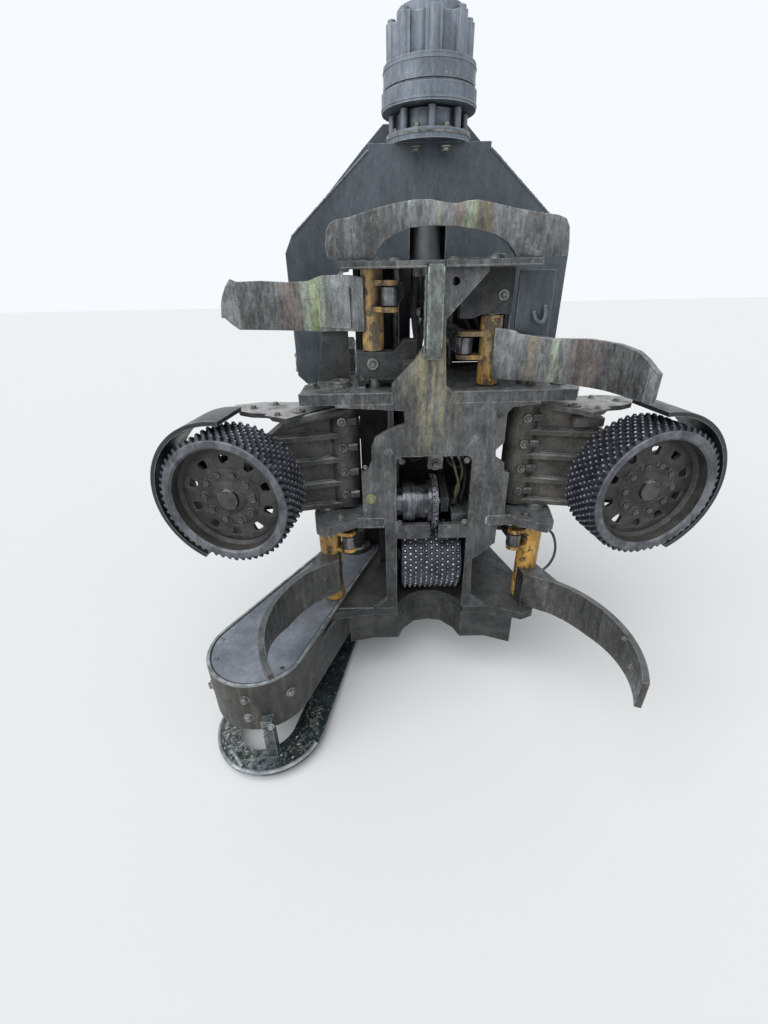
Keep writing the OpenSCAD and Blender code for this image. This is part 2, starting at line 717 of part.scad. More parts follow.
module hub(low, high, hub_r, pin_r, ram_z, ram_eye, reach, a) {
    gap = ram_eye[4] + 8;
    plate = 13;
    difference() {
        union() {
            translate([0, 0, low]) cylinder(h = high - low, r = hub_r);
            for (z = [ram_z - gap / 2 - plate, ram_z + gap / 2]) translate([0, 0, z])
                lever(reach, a, hub_r, ram_eye[3] - 2, 12, plate);
        }
        translate([0, 0, low - 1]) cylinder(h = high - low + 2, r = pin_r + fit);
        rotate(a) translate([reach, 0, ram_z - gap / 2]) cylinder(h = gap, r = ram_eye[3] + 4);
    }
}

// An upper knife, open to the left, with its pin at the origin
upper_chord = 450;

module upper_blade(low) {
    lean = 6;
    start = [4 - upper_hub_r, -12];
    half = asin(upper_chord / 2 / upper_curve_r);
    depth = upper_curve_r * cos(half);
    middle = start + upper_chord / 2 * [-cos(lean), sin(lean)];
    centre = middle - depth * [sin(lean), cos(lean)];
    difference() {
        translate([centre[0], centre[1], low]) linear_extrude(upper_blade_h)
            arc_band(upper_curve_r - upper_blade_t, upper_curve_r, 90 - lean - half, 90 - lean + half);
        // the cutting edge falls towards the tip
        translate([-250, -400, low + upper_blade_h]) rotate([0, -16, 0]) translate([-400, 0, 0])
            cube([400, 800, 200]);
        translate([0, 0, low - 1]) cylinder(h = upper_blade_h + 2, r = upper_hub_r + fit);
    }
}

module place_left_upper() {
    translate([upper_left_pin[0], upper_left_pin[1], 0]) children();
}
module place_right_upper() {
    translate([upper_right_pin[0], upper_right_pin[1], 0]) rotate([0, 0, -right_upper_turn])
        mirror([1, 0, 0]) children();
}
module place_left_lower() {
    translate([lower_left_pin[0], lower_left_pin[1], 0]) children();
}
module place_right_lower() {
    translate([lower_right_pin[0], lower_right_pin[1], 0]) rotate([0, 0, right_lower_turn])
        mirror([1, 0, 0]) children();
}

left_upper_low = shelf_low_z - 157;
right_upper_low = wing_z + 28;

module upper_left_hub() {
    color("orange") place_left_upper()
        hub(left_block_z + 4, shelf_low_z - 4, upper_hub_r, upper_pin_r, upper_left_z, upper_ram,
            upper_lever, upper_rest);
}
module upper_right_hub() {
    color("orange") place_right_upper()
        hub(wing_z + 4, right_block_z - 4, upper_hub_r, upper_pin_r, upper_right_z, upper_ram,
            upper_lever, upper_rest);
}
module upper_left_blade() {
    color("gray") place_left_upper() upper_blade(left_upper_low);
}
module upper_right_blade() {
    color("gray") place_right_upper() upper_blade(right_upper_low);
}

// A lower knife with its pin at the origin, curling in towards its tip
lower_curve_c = [193, -371];

module lower_blade(low, high, tip_low) {
    from = 118;
    to = 214;
    outer = lower_curve_r + lower_blade_t;
    root = [[-36, -8], lower_curve_c + outer * [cos(136), sin(136)],
        lower_curve_c + lower_curve_r * [cos(136), sin(136)],
        lower_curve_c + lower_curve_r * [cos(from), sin(from)], [36, -8]];
    difference() {
        translate([0, 0, low]) linear_extrude(high - low) {
            translate(lower_curve_c) arc_band(lower_curve_r, outer, from, to);
            polygon(root);
        }
        // the lower edge rises towards the tip
        translate([-400, -250, low]) rotate([-atan((tip_low - low) / 180), 0, 0])
            translate([0, -500, -200]) cube([800, 500, 200]);
        translate([0, 0, low - 1]) cylinder(h = high - low + 2, r = lower_hub_r + fit);
    }
}

lower_hub_high = lower_wing_low_z - 5;
// Low and high edges of the lower blades, and the low edge at the left one's tip
left_lower = [base_z + 80, base_z + 220];
left_lower_tip = base_z + 148;
right_lower = [base_z + 6, base_z + 142];

module lower_left_hub() {
    color("orange") place_left_lower()
        hub(lid_top_z + 5, lower_hub_high, lower_hub_r, lower_pin_r, lower_ram_z, lower_ram,
            lower_lever, lower_rest);
}
module lower_right_hub() {
    color("orange") place_right_lower()
        hub(base_z + 5, lower_hub_high, lower_hub_r, lower_pin_r, lower_ram_z, lower_ram,
            lower_lever, lower_rest);
}
module lower_left_blade() {
    color("gray") place_left_lower() lower_blade(left_lower[0], left_lower[1], left_lower_tip);
}
module lower_right_blade() {
    color("gray") place_right_lower() lower_blade(right_lower[0], right_lower[1], right_lower[0] + 24);
}

// Feed arms and rollers, drawn on the right side

arm_end = [roller_mid[0] - 12, roller_mid[1] + 98];

// Frame of the feed roller: local X is its axis, towards its face
module at_roller() {
    translate([roller_mid[0], roller_mid[1], roller_z]) rotate([0, 0, -90 + roller_turn]) children();
}

module feed_arm() {
    d = arm_end - arm_pin;
    reach = norm(d);
    top = wing_low_z - 25;
    low = lower_wing_z + 12;
    ribs = [-1180, -1262, -1345, -1424];
    top_plate = [[290, -352], [360, -350], [427, -376], [551, -366], [630, -396], [596, -468], [440, -560],
        [400, -515], [330, -445], [290, -448]];
    rib_half_w = arm_hub_r - 5;
    color("dimgray") difference() {
        union() {
            rod_z(arm_pin, low - 3, top + 3, arm_hub_r);
            translate([arm_pin[0], arm_pin[1], 0]) rotate([0, 0, atan2(d[1], d[0])]) {
                plate_xz(-22, 44, [[0, low + 10], [0, top - 10], [150, top - 14], [reach - 40, roller_z + 108],
                    [reach, roller_z + 100], [reach, roller_z - 100], [reach - 40, roller_z - 108],
                    [120, low + 14]]);
                for (z = ribs) translate([0, 0, z - 14]) linear_extrude(14)
                    polygon([[0, -rib_half_w], [150, -40], [reach - 90, -34], [reach - 90, 34], [150, 40],
                        [0, rib_half_w]]);
            }
            plate_xy(top - 14, 14, top_plate);
            at_roller() rod_x([0, 0], -roller_w / 2 - 52, -roller_w / 2 - 22, 112);
            // lever for the feed ram
            for (z = [feed_ram_z - 57, feed_ram_z + 42]) translate([arm_pin[0], arm_pin[1], z])
                lever(feed_lever, 180 - feed_rest, arm_hub_r, 28, 12, 15);
        }
        rod_z(arm_pin, low - 4, top + 4, arm_pin_r + fit);
        rod_z([-feed_left_eye[0], feed_left_eye[1]], feed_ram_z - 42, feed_ram_z + 42, 40);
        at_roller() rod_x([0, 0], -2 * roller_w, -roller_w / 2 - 20, 60 + fit);
        at_roller() rod_x([0, 0], -roller_w / 2 - 22, roller_w, 240);
    }
}

disc_back = 15;
disc_face = 29;
stud_h = 12;
stud_root = 3;
stud_edge = 5;

module feed_motor() {
    color("dimgray") at_roller() {
        rod_x([0, 0], -roller_w / 2 - 22, disc_back - 8, 88);
        rod_x([0, 0], disc_back - 8, disc_face + 22, 30);
        rod_x([0, 0], -roller_w / 2 - 92, -roller_w / 2 - 22, 60);
    }
}

// Drum along X with one flat for each line of studs, and the studs on it
module studded_drum(from, to, r, high, rows, count, long, wide) {
    flat_r = r - high;
    corner_r = flat_r / cos(180 / count);
    pitch = (to - from - 2 * stud_edge - long) / (rows - 1);
    translate([from, 0, 0]) rotate([90, 0, 90]) linear_extrude(to - from)
        polygon([for (i = [0 : count - 1])
            corner_r * [cos((i + 0.5) * 360 / count), sin((i + 0.5) * 360 / count)]]);
    for (row = [0 : rows - 1]) for (i = [0 : count - 1]) rotate([i * 360 / count, 0, 0])
        translate([from + stud_edge + row * pitch, -wide / 2, flat_r - stud_root])
            cube([long, wide, high + stud_root - 0.2]);
}

module feed_roller() {
    slots = 10;
    color("dimgray") at_roller() difference() {
        union() {
            difference() {
                studded_drum(-roller_w / 2, roller_w / 2, roller_r, stud_h, 3, 24, 36, 20);
                rod_x([0, 0], -roller_w, roller_w, roller_r - 33);
            }
            rod_x([0, 0], disc_back, disc_face, roller_r - 30);
            rod_x([0, 0], disc_back, disc_face + 14, 62);
        }
        rod_x([0, 0], 0, roller_w, 30 + fit);
        for (i = [0 : slots - 1]) rotate([i * 360 / slots, 0, 0]) translate([0, 0, 118])
            rod_x([0, 0], 0, roller_w, 15);
    }
}

// Strip round the outer side, on a bracket that sits on the arm's flange
module roller_guard() {
    inner = roller_r + 21;
    strip = 13;
    back_x = -roller_w / 2 - 22;
    color("black") at_roller() difference() {
        union() {
            translate([back_x, 0, 0]) rotate([90, 0, 90]) linear_extrude(roller_w + 2)
                arc_band(inner, inner + strip, -62, 94);
            rotate([12, 0, 0]) translate([back_x, 70, -40]) cube([12, inner - 66, 80]);
        }
        rod_x([0, 0], back_x - 1, back_x + 13, 88 + fit);
    }
}

module feed_arm_left() { mirror([1, 0, 0]) feed_arm(); }
module feed_arm_right() { feed_arm(); }
module feed_motor_left() { mirror([1, 0, 0]) feed_motor(); }
module feed_motor_right() { feed_motor(); }
module roller_guard_left() { mirror([1, 0, 0]) roller_guard(); }
module roller_guard_right() { roller_guard(); }
module feed_roller_left() { mirror([1, 0, 0]) feed_roller(); }
module feed_roller_right() { feed_roller(); }

// Rams, built along X with the base pin at the origin and the pins along Z
ram_neck = 50;

module barrel(ram, pin_r) {
    end = ram[0] - ram[3] - 10;
    difference() {
        union() {
            translate([0, 0, -ram[4] / 2]) cylinder(h = ram[4], r = ram[3]);
            translate([0, -ram[3] + 4, -ram[4] / 2]) cube([ram_neck + 2, 2 * ram[3] - 8, ram[4]]);
            translate([ram_neck, 0, 0]) rotate([0, 90, 0]) cylinder(h = end - ram_neck, r = ram[1]);
            translate([end - 22, 0, 0]) rotate([0, 90, 0]) cylinder(h = 22, r = ram[1] + 4);
        }
        translate([0, 0, -ram[4]]) cylinder(h = 2 * ram[4], r = pin_r + fit);
        translate([ram_neck + 4, 0, 0]) rotate([0, 90, 0]) cylinder(h = end, r = ram[2] + fit);
    }
}

module rod(ram, length) {
    body = ram[0] - ram_neck - 14;
    difference() {
        union() {
            translate([length - body, 0, 0]) rotate([0, 90, 0]) cylinder(h = body, r = ram[2]);
            translate([length, 0, -ram[4] / 2]) cylinder(h = ram[4], r = ram[3]);
        }
        translate([length, 0, -ram[4] / 2 - 1]) cylinder(h = ram[4] + 2, r = 12);
    }
}

module flat_ram(base, eye, z) {
    d = eye - base;
    translate([base[0], base[1], z]) rotate([0, 0, atan2(d[1], d[0])]) children();
}
module tilt_ram_place() {
    d = tilt_eye - tilt_base;
    translate([0, tilt_base[0], tilt_base[1]]) rotate([90, 0, 90]) rotate([0, 0, atan2(d[1], d[0])]) children();
}

module tilt_barrel() { color("dimgray") tilt_ram_place() barrel(tilt_ram, tilt_ram_pin_r); }
module tilt_rod() { color("silver") tilt_ram_place() rod(tilt_ram, norm(tilt_eye - tilt_base)); }

module upper_left_barrel() {
    color("dimgray") flat_ram(upper_left_base, upper_left_eye, upper_left_z) barrel(upper_ram, base_pin_r);
}
module upper_left_rod() {
    color("silver") flat_ram(upper_left_base, upper_left_eye, upper_left_z)
        rod(upper_ram, norm(upper_left_eye - upper_left_base));
}
module upper_right_barrel() {
    color("dimgray") flat_ram(upper_right_base, upper_right_eye, upper_right_z) barrel(upper_ram, base_pin_r);
}
module upper_right_rod() {
    color("silver") flat_ram(upper_right_base, upper_right_eye, upper_right_z)
        rod(upper_ram, norm(upper_right_eye - upper_right_base));
}
left_lower_base = [-lower_base[0], lower_base[1]];
module lower_left_barrel() {
    color("dimgray") flat_ram(left_lower_base, lower_left_eye, lower_ram_z) barrel(lower_ram, base_pin_r);
}
module lower_left_rod() {
    color("silver") flat_ram(left_lower_base, lower_left_eye, lower_ram_z)
        rod(lower_ram, norm(lower_left_eye - left_lower_base));
}
module lower_right_barrel() {
    color("dimgray") flat_ram(lower_base, lower_right_eye, lower_ram_z) barrel(lower_ram, base_pin_r);
}
module lower_right_rod() {
    color("silver") flat_ram(lower_base, lower_right_eye, lower_ram_z)
        rod(lower_ram, norm(lower_right_eye - lower_base));
}
left_feed_base = [-feed_base[0], feed_base[1]];
module feed_left_barrel() {
    color("dimgray") flat_ram(left_feed_base, feed_left_eye, feed_ram_z) barrel(feed_ram, base_pin_r);
}
module feed_left_rod() {
    color("silver") flat_ram(left_feed_base, feed_left_eye, feed_ram_z)
        rod(feed_ram, norm(feed_left_eye - left_feed_base));
}
module feed_right_barrel() {
    color("dimgray") flat_ram(feed_base, feed_right_eye, feed_ram_z) barrel(feed_ram, base_pin_r);
}
module feed_right_rod() {
    color("silver") flat_ram(feed_base, feed_right_eye, feed_ram_z)
        rod(feed_ram, norm(feed_right_eye - feed_base));
}

rotator_housing();
rotator_lug();
rotor_flange();
tilt_frame();
tilt_pins();
main_plate();
spine_bar();
shelf_plate();
top_knife();
wing_plate();
lower_wing();
base_plate();
base_skirt();
frame_box();
upper_box();
head_lugs();
hinge_pins();
saw_box();
saw_guard();
saw_motor();
saw_bar();
valve_block();
rear_hood();
roller_mount();
wheel_arm();
frame_roller();
measuring_wheel();
upper_left_hub();
upper_left_blade();
upper_right_hub();
upper_right_blade();
lower_left_hub();
lower_left_blade();
lower_right_hub();
lower_right_blade();
feed_arm_left();
feed_arm_right();
feed_motor_left();
feed_motor_right();
roller_guard_left();
roller_guard_right();
feed_roller_left();
feed_roller_right();
tilt_barrel();
tilt_rod();
upper_left_barrel();
upper_left_rod();
upper_right_barrel();
upper_right_rod();
lower_left_barrel();
lower_left_rod();
lower_right_barrel();
lower_right_rod();
feed_left_barrel();
feed_left_rod();
feed_right_barrel();
feed_right_rod();
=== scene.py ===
# %% [markdown]
# # A harvester head that hangs from its rotator
#
# The real thing is a tool of more than a tonne. It grips a stem, saws it through, tips
# it over and pulls it past its knives.
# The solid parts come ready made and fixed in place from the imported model. This script
# adds what makes them look real: worn finishes, studs, bolts, welds, hoses and dirt.
# Everything is in metres, in one shared frame. Z is up, X runs to the right of someone
# who faces the open head, and Y points away from them. The origin is the link pin.

# %% Load the fixed frame
import json
import math
import random

import bmesh
import bpy
from mathutils import Matrix, Vector


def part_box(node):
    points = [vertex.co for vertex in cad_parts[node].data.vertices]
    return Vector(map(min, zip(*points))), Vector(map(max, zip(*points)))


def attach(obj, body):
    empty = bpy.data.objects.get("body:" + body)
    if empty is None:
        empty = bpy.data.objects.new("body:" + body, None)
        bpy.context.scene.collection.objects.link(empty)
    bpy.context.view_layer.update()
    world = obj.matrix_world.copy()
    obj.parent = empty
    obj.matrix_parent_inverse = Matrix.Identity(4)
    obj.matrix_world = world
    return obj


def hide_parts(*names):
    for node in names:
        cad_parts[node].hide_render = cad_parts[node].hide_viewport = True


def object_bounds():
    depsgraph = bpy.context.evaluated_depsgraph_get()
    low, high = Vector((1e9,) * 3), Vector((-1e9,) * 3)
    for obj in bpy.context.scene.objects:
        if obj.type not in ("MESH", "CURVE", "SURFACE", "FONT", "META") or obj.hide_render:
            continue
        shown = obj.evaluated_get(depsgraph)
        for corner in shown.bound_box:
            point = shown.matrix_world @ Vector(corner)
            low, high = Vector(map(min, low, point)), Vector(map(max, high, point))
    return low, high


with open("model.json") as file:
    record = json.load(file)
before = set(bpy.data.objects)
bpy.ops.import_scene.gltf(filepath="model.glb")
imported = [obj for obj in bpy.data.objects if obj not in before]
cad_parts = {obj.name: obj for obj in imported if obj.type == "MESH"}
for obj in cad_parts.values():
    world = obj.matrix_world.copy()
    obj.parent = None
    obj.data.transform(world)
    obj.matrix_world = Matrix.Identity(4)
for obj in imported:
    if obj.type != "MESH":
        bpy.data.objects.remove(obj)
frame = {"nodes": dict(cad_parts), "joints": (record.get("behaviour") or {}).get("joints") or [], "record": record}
cad_low, cad_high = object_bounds()

MM = 0.001
rng = random.Random(7)

# %% [markdown]
# ## The camera first
#
# The photograph was taken with a very wide phone lens, close to the head and a little
# below its shoulders, looking down. The place and the tilt were worked out from the
# upright and level edges of the head, so the render lines up with the photograph.
# Blender's lens length belongs to the long side of the picture, which is upright here.

# %% Camera at the photograph's place
CAMERA_AT = Vector((-0.164, -1.82, -0.72))
CAMERA_DOWN = math.radians(28.5)
CAMERA_ROLL = math.radians(-1.2)
LENS = 15.82
SENSOR = 36.0

camera_data = bpy.data.cameras.new("camera")
camera_data.lens = LENS
camera_data.sensor_width = SENSOR
camera_data.clip_start = 0.02
camera_data.clip_end = 60
camera = bpy.data.objects.new("camera", camera_data)
bpy.context.scene.collection.objects.link(camera)
camera.location = CAMERA_AT
camera.rotation_mode = "QUATERNION"
turn = Matrix.Rotation(math.radians(90) - CAMERA_DOWN, 4, "X") @ Matrix.Rotation(CAMERA_ROLL, 4, "Z")
camera.rotation_quaternion = turn.to_quaternion()
bpy.context.scene.camera = camera
print("camera at", tuple(round(c, 3) for c in CAMERA_AT), "lens", LENS)

# %% [markdown]
# ## A short hand for material graphs
#
# Every finish here is a small graph of noise, masks and colour mixes. Writing each link
# by hand takes many lines, so a small class keeps one graph and hands back sockets.
# All patterns read the Object coordinates: the solids keep their vertices in the shared
# frame, so a pattern runs on from piece to piece and still rides with its piece.

# %% A graph that hands back sockets
class Finish:
    def __init__(self, name):
        self.material = bpy.data.materials.new(name)
        self.material.use_nodes = True
        self.tree = self.material.node_tree
        self.shader = self.tree.nodes["Principled BSDF"]
        coordinates = self.add("ShaderNodeTexCoord")
        self.place = coordinates.outputs["Object"]
        self.normal = coordinates.outputs["Normal"]

    def add(self, kind, inputs=None, **settings):
        made = self.tree.nodes.new(kind)
        for key, value in settings.items():
            setattr(made, key, value)
        for key, value in (inputs or {}).items():
            self.feed(made.inputs[key], value)
        return made

    def feed(self, socket, value):
        if isinstance(value, bpy.types.NodeSocket):
            self.tree.links.new(value, socket)
        elif socket.type == "RGBA":
            socket.default_value = (*value, 1.0)
        else:
            socket.default_value = value

    def math(self, operation, a, b=0.0, clamp=False):
        made = self.add("ShaderNodeMath", operation=operation, use_clamp=clamp)
        self.feed(made.inputs[0], a)
        self.feed(made.inputs[1], b)
        return made.outputs[0]

    def times(self, a, b, clamp=False):
        return self.math("MULTIPLY", a, b, clamp)

    def spread(self, value, low, high, to_low=0.0, to_high=1.0):
        made = self.add("ShaderNodeMapRange", interpolation_type="SMOOTHSTEP")
        self.feed(made.inputs["Value"], value)
        self.feed(made.inputs["From Min"], low)
        self.feed(made.inputs["From Max"], high)
        self.feed(made.inputs["To Min"], to_low)
        self.feed(made.inputs["To Max"], to_high)
        return made.outputs["Result"]

    def moved(self, stretch=(1, 1, 1), shift=(0, 0, 0)):
        made = self.add("ShaderNodeMapping", {"Vector": self.place})
        made.inputs["Scale"].default_value = stretch
        made.inputs["Location"].default_value = shift
        return made.outputs["Vector"]

    def noise(self, scale, detail=5.0, rough=0.6, stretch=(1, 1, 1), shift=(0, 0, 0)):
        made = self.add("ShaderNodeTexNoise", {"Vector": self.moved(stretch, shift)})
        made.inputs["Scale"].default_value = scale
        made.inputs["Detail"].default_value = detail
        made.inputs["Roughness"].default_value = rough
        return made.outputs["Fac"]

    def patches(self, low, high, *settings, **placing):
        return self.spread(self.noise(*settings, **placing), low, high)

    def mix(self, share, a, b):
        made = self.add("ShaderNodeMix", data_type="RGBA")
        sockets = {s.identifier: s for s in [*made.inputs, *made.outputs]}
        self.feed(sockets["Factor_Float"], share)
        self.feed(sockets["A_Color"], a)
        self.feed(sockets["B_Color"], b)
        return sockets["Result_Color"]

    def shade(self, colour, share, dark, pale):
        made = self.add("ShaderNodeHueSaturation", {"Color": colour})
        self.feed(made.inputs["Value"], self.spread(share, 0.34, 0.66, dark, pale))
        return made.outputs["Color"]

    def grain(self, colour, dark=0.55, pale=1.5, stretch=(1, 1, 0.4)):
        coarse = self.noise(26, 8, 0.78, stretch, (3, 7, 2))
        fine = self.noise(120, 6, 0.75, stretch, (1, 2, 9))
        both = self.math("ADD", self.times(coarse, 0.6), self.times(fine, 0.4))
        return self.shade(colour, both, dark, pale)

    # Painted shade: the Ambient Occlusion node darkens recesses and gaps towards near-black, together with oily
    # grime.
    def shade_and_grime_in_recesses(self, colour, reach=0.11, share=0.85):
        open_sky = self.add("ShaderNodeAmbientOcclusion")
        open_sky.samples = 6
        open_sky.inputs["Distance"].default_value = reach
        deep = self.spread(open_sky.outputs["AO"], 0.62, 0.22)
        return self.mix(self.times(deep, share), colour, OILY_DIRT_AND_SHADE)

    def axis(self, vector, letter):
        return self.add("ShaderNodeSeparateXYZ", {"Vector": vector}).outputs[letter]

    def near(self, letter, middle, half, soft):
        away = self.math("ABSOLUTE", self.math("SUBTRACT", self.axis(self.place, letter), middle))
        return self.spread(away, half + soft, half)

    def edges(self, radius):
        rounded = self.add("ShaderNodeBevel", samples=4)
        rounded.inputs["Radius"].default_value = radius
        flat = self.add("ShaderNodeNewGeometry").outputs["Normal"]
        dot = self.add("ShaderNodeVectorMath", operation="DOT_PRODUCT")
        self.feed(dot.inputs[0], rounded.outputs["Normal"])
        self.feed(dot.inputs[1], flat)
        return self.spread(dot.outputs["Value"], 0.97, 0.80)

    def bump(self, height, distance, strength=1.0):
        made = self.add("ShaderNodeBump", {"Height": height})
        made.inputs["Distance"].default_value = distance
        made.inputs["Strength"].default_value = strength
        return made.outputs["Normal"]

    def done(self, colour, rough, metal=0.0, normal=None):
        self.feed(self.shader.inputs["Base Color"], colour)
        self.feed(self.shader.inputs["Roughness"], rough)
        self.feed(self.shader.inputs["Metallic"], metal)
        if normal is not None:
            self.feed(self.shader.inputs["Normal"], normal)
        return self.material


print("graph helper ready")

# %% [markdown]
# ## Wear that most finishes share
#
# On the real head the paint is gone from every edge that logs rub, rain has drawn dark
# and pale runs down the plates, and grey dust lies on all that faces up. The pale tops
# also carry a painted sheen of the sky. Each of these is a mask. The edge mask compares
# the surface normal with one that the Bevel node has softened, and noise breaks it up so
# that no edge is rubbed evenly.

# %% Masks for rubbed edges, rain runs, and dust with a painted sheen
EDGE_RADIUS = 3 * MM


def rubbed_edges(f, radius=EDGE_RADIUS, low=0.46, high=0.60):
    broken = f.patches(low, high, 45, 8, 0.75)
    return f.times(f.edges(radius), f.math("ADD", f.times(broken, 0.75), 0.25), True)


def rain_runs(f, low=0.5, high=0.7, scale=9, shift=(0, 0, 0)):
    return f.patches(low, high, scale, 7, 0.65, (3.4, 3.4, 0.22), shift)


# Faces that look up get pale dust and a painted sheen of the sky.
def dust_and_sheen_on_top(f, low=0.55, high=0.95):
    up = f.spread(f.axis(f.normal, "Z"), low, high)
    patchy = f.patches(0.25, 0.6, 14, 6, 0.7, shift=(4, 1, 2))
    return f.times(up, patchy, True)


def pitted(f, distance=0.0012):
    fine = f.noise(150, 6, 0.75)
    coarse = f.noise(22, 6, 0.65, shift=(2, 5, 1))
    return f.bump(f.math("ADD", f.times(fine, 0.5), coarse), 2 * distance)


print("wear masks ready")

# %% [markdown]
# ## Worn plate steel
#
# The front plate, the wings and the boxes were painted dark once. The stem slides over
# them all day, so what shows is a grey-brown steel with olive and rusty streaks and pale
# blue-grey rain runs. A wide painted highlight lies in pale patches on the front around
# the middle, the steel gets darker towards the bottom, and painted shade over oily grime
# makes it nearly black deep inside the frame.

# %% Worn plate steel
OILY_DIRT_AND_SHADE = (0.010, 0.010, 0.009)
DARK_STEEL = (0.020, 0.021, 0.022)
MID_STEEL = (0.076, 0.078, 0.079)
PALE_STEEL = (0.18, 0.195, 0.195)
HIGHLIGHT_STEEL = (0.175, 0.185, 0.170)
BARE_EDGE = (0.40, 0.43, 0.42)
OLIVE = (0.205, 0.185, 0.115)
RUST = (0.13, 0.070, 0.035)
TOP_DUST_AND_SHEEN = (0.22, 0.225, 0.22)


def make_worn_steel():
    f = Finish("worn_plate_steel")
    blotch = f.patches(0.36, 0.62, 6.5, 9, 0.72)
    colour = f.mix(blotch, DARK_STEEL, MID_STEEL)
    colour = f.mix(f.times(rain_runs(f), 0.45), colour, PALE_STEEL)
    scraped = f.patches(0.54, 0.64, 19, 10, 0.8, (1.5, 1.5, 0.8), (8, 2, 5))
    colour = f.mix(f.times(scraped, 0.55), colour, PALE_STEEL)
    middle = f.near("X", -0.02, 0.035, 0.075)
    high = f.spread(f.axis(f.place, "Z"), -1.30, -1.05)
    below_spine = f.spread(f.axis(f.place, "Z"), -0.76, -0.98)
    stem_path = f.times(middle, f.times(high, below_spine))
    front = f.spread(f.axis(f.place, "Y"), -0.40, -0.50)
    stem_path = f.times(stem_path, front)
    # A wide painted highlight lies in pale patches on the front, around the middle of the plate.
    wide = f.times(f.near("X", -0.03, 0.06, 0.15), f.times(high, front))
    highlight_patches = f.patches(0.38, 0.60, 12, 9, 0.75, (1, 1, 0.45), (4, 4, 1))
    colour = f.mix(f.times(wide, f.times(highlight_patches, 0.6)), colour, HIGHLIGHT_STEEL)
    streaks = rain_runs(f, 0.40, 0.64, 14, (3, 2, 0))
    colour = f.mix(f.times(stem_path, streaks, True), colour, OLIVE)
    rust = f.patches(0.60, 0.72, 16, 8, 0.75, (1.4, 1.4, 0.6), (7, 3, 1))
    colour = f.mix(f.times(rust, 0.4), colour, RUST)
    # The plate gets darker towards the bottom.
    lower = f.spread(f.axis(f.place, "Z"), -1.36, -1.80)
    colour = f.mix(f.times(lower, 0.65), colour, OILY_DIRT_AND_SHADE)
    colour = f.grain(colour, 0.36, 1.75)
    # Pale dust and a painted sky sheen on the faces that look up.
    colour = f.mix(f.times(dust_and_sheen_on_top(f), 0.6), colour, f.grain(TOP_DUST_AND_SHEEN, 0.6, 1.3, (1, 1, 1)))
    # Painted shade and oily grime darken the recesses.
    colour = f.shade_and_grime_in_recesses(colour)
    colour = f.mix(rubbed_edges(f), colour, BARE_EDGE)
    rough = f.spread(f.noise(30, 6, 0.6, shift=(5, 5, 5)), 0.35, 0.65, 0.18, 0.55)
    return f.done(colour, rough, 0.2, pitted(f))


WORN_STEEL = make_worn_steel()
print("finish:", WORN_STEEL.name)

# %% [markdown]
# ## Painted steel
#
# The tilt frame, the saw box and the rotator still have their paint: a smooth dark
# blue-grey, rubbed pale on the edges, with rain runs. The saw box differs in that its lid
# is clean and its walls are muddy, so the direction of the surface picks between two
# colours.

# %% Paint on the tilt frame, the rotator and the saw box
FRAME_PAINT = (0.040, 0.052, 0.063)
FRAME_PAINT_PALE = (0.078, 0.098, 0.113)
ROTATOR_PAINT = (0.115, 0.135, 0.165)
ROTATOR_PALE = (0.22, 0.25, 0.29)
LID_PAINT = (0.135, 0.155, 0.185)
LID_PALE = (0.25, 0.275, 0.31)
WALL_MUD = (0.115, 0.105, 0.080)
WALL_DARK = (0.040, 0.040, 0.037)
PAINT_EDGE = (0.46, 0.50, 0.52)


def make_paint(name, deep, pale, edge_share=0.8, run_share=0.35, metal=0.1):
    f = Finish(name)
    cloud = f.patches(0.3, 0.72, 3.2, 6, 0.6)
    colour = f.mix(cloud, deep, pale)
    colour = f.mix(f.times(rain_runs(f, 0.52, 0.72, 12), run_share), colour, pale)
    grime = f.patches(0.52, 0.75, 7, 8, 0.7, shift=(3, 3, 8))
    colour = f.mix(f.times(grime, 0.45), colour, DARK_STEEL)
    scuff = f.patches(0.62, 0.72, 60, 8, 0.8, (1, 1, 0.4), (2, 8, 1))
    colour = f.mix(f.times(scuff, 0.3), colour, PAINT_EDGE)
    # Painted shade and oily grime darken the recesses.
    colour = f.shade_and_grime_in_recesses(f.grain(colour, 0.62, 1.32), 0.06, 0.8)
    # Pale dust and a painted sky sheen on the faces that look up.
    colour = f.mix(f.times(dust_and_sheen_on_top(f), 0.35), colour, TOP_DUST_AND_SHEEN)
    colour = f.mix(f.times(rubbed_edges(f, 4 * MM, 0.35, 0.6), edge_share), colour, PAINT_EDGE)
    rough = f.spread(f.noise(20, 6, 0.6, shift=(9, 5, 5)), 0.3, 0.7, 0.34, 0.55)
    return f.done(colour, rough, metal, pitted(f, 0.0005))


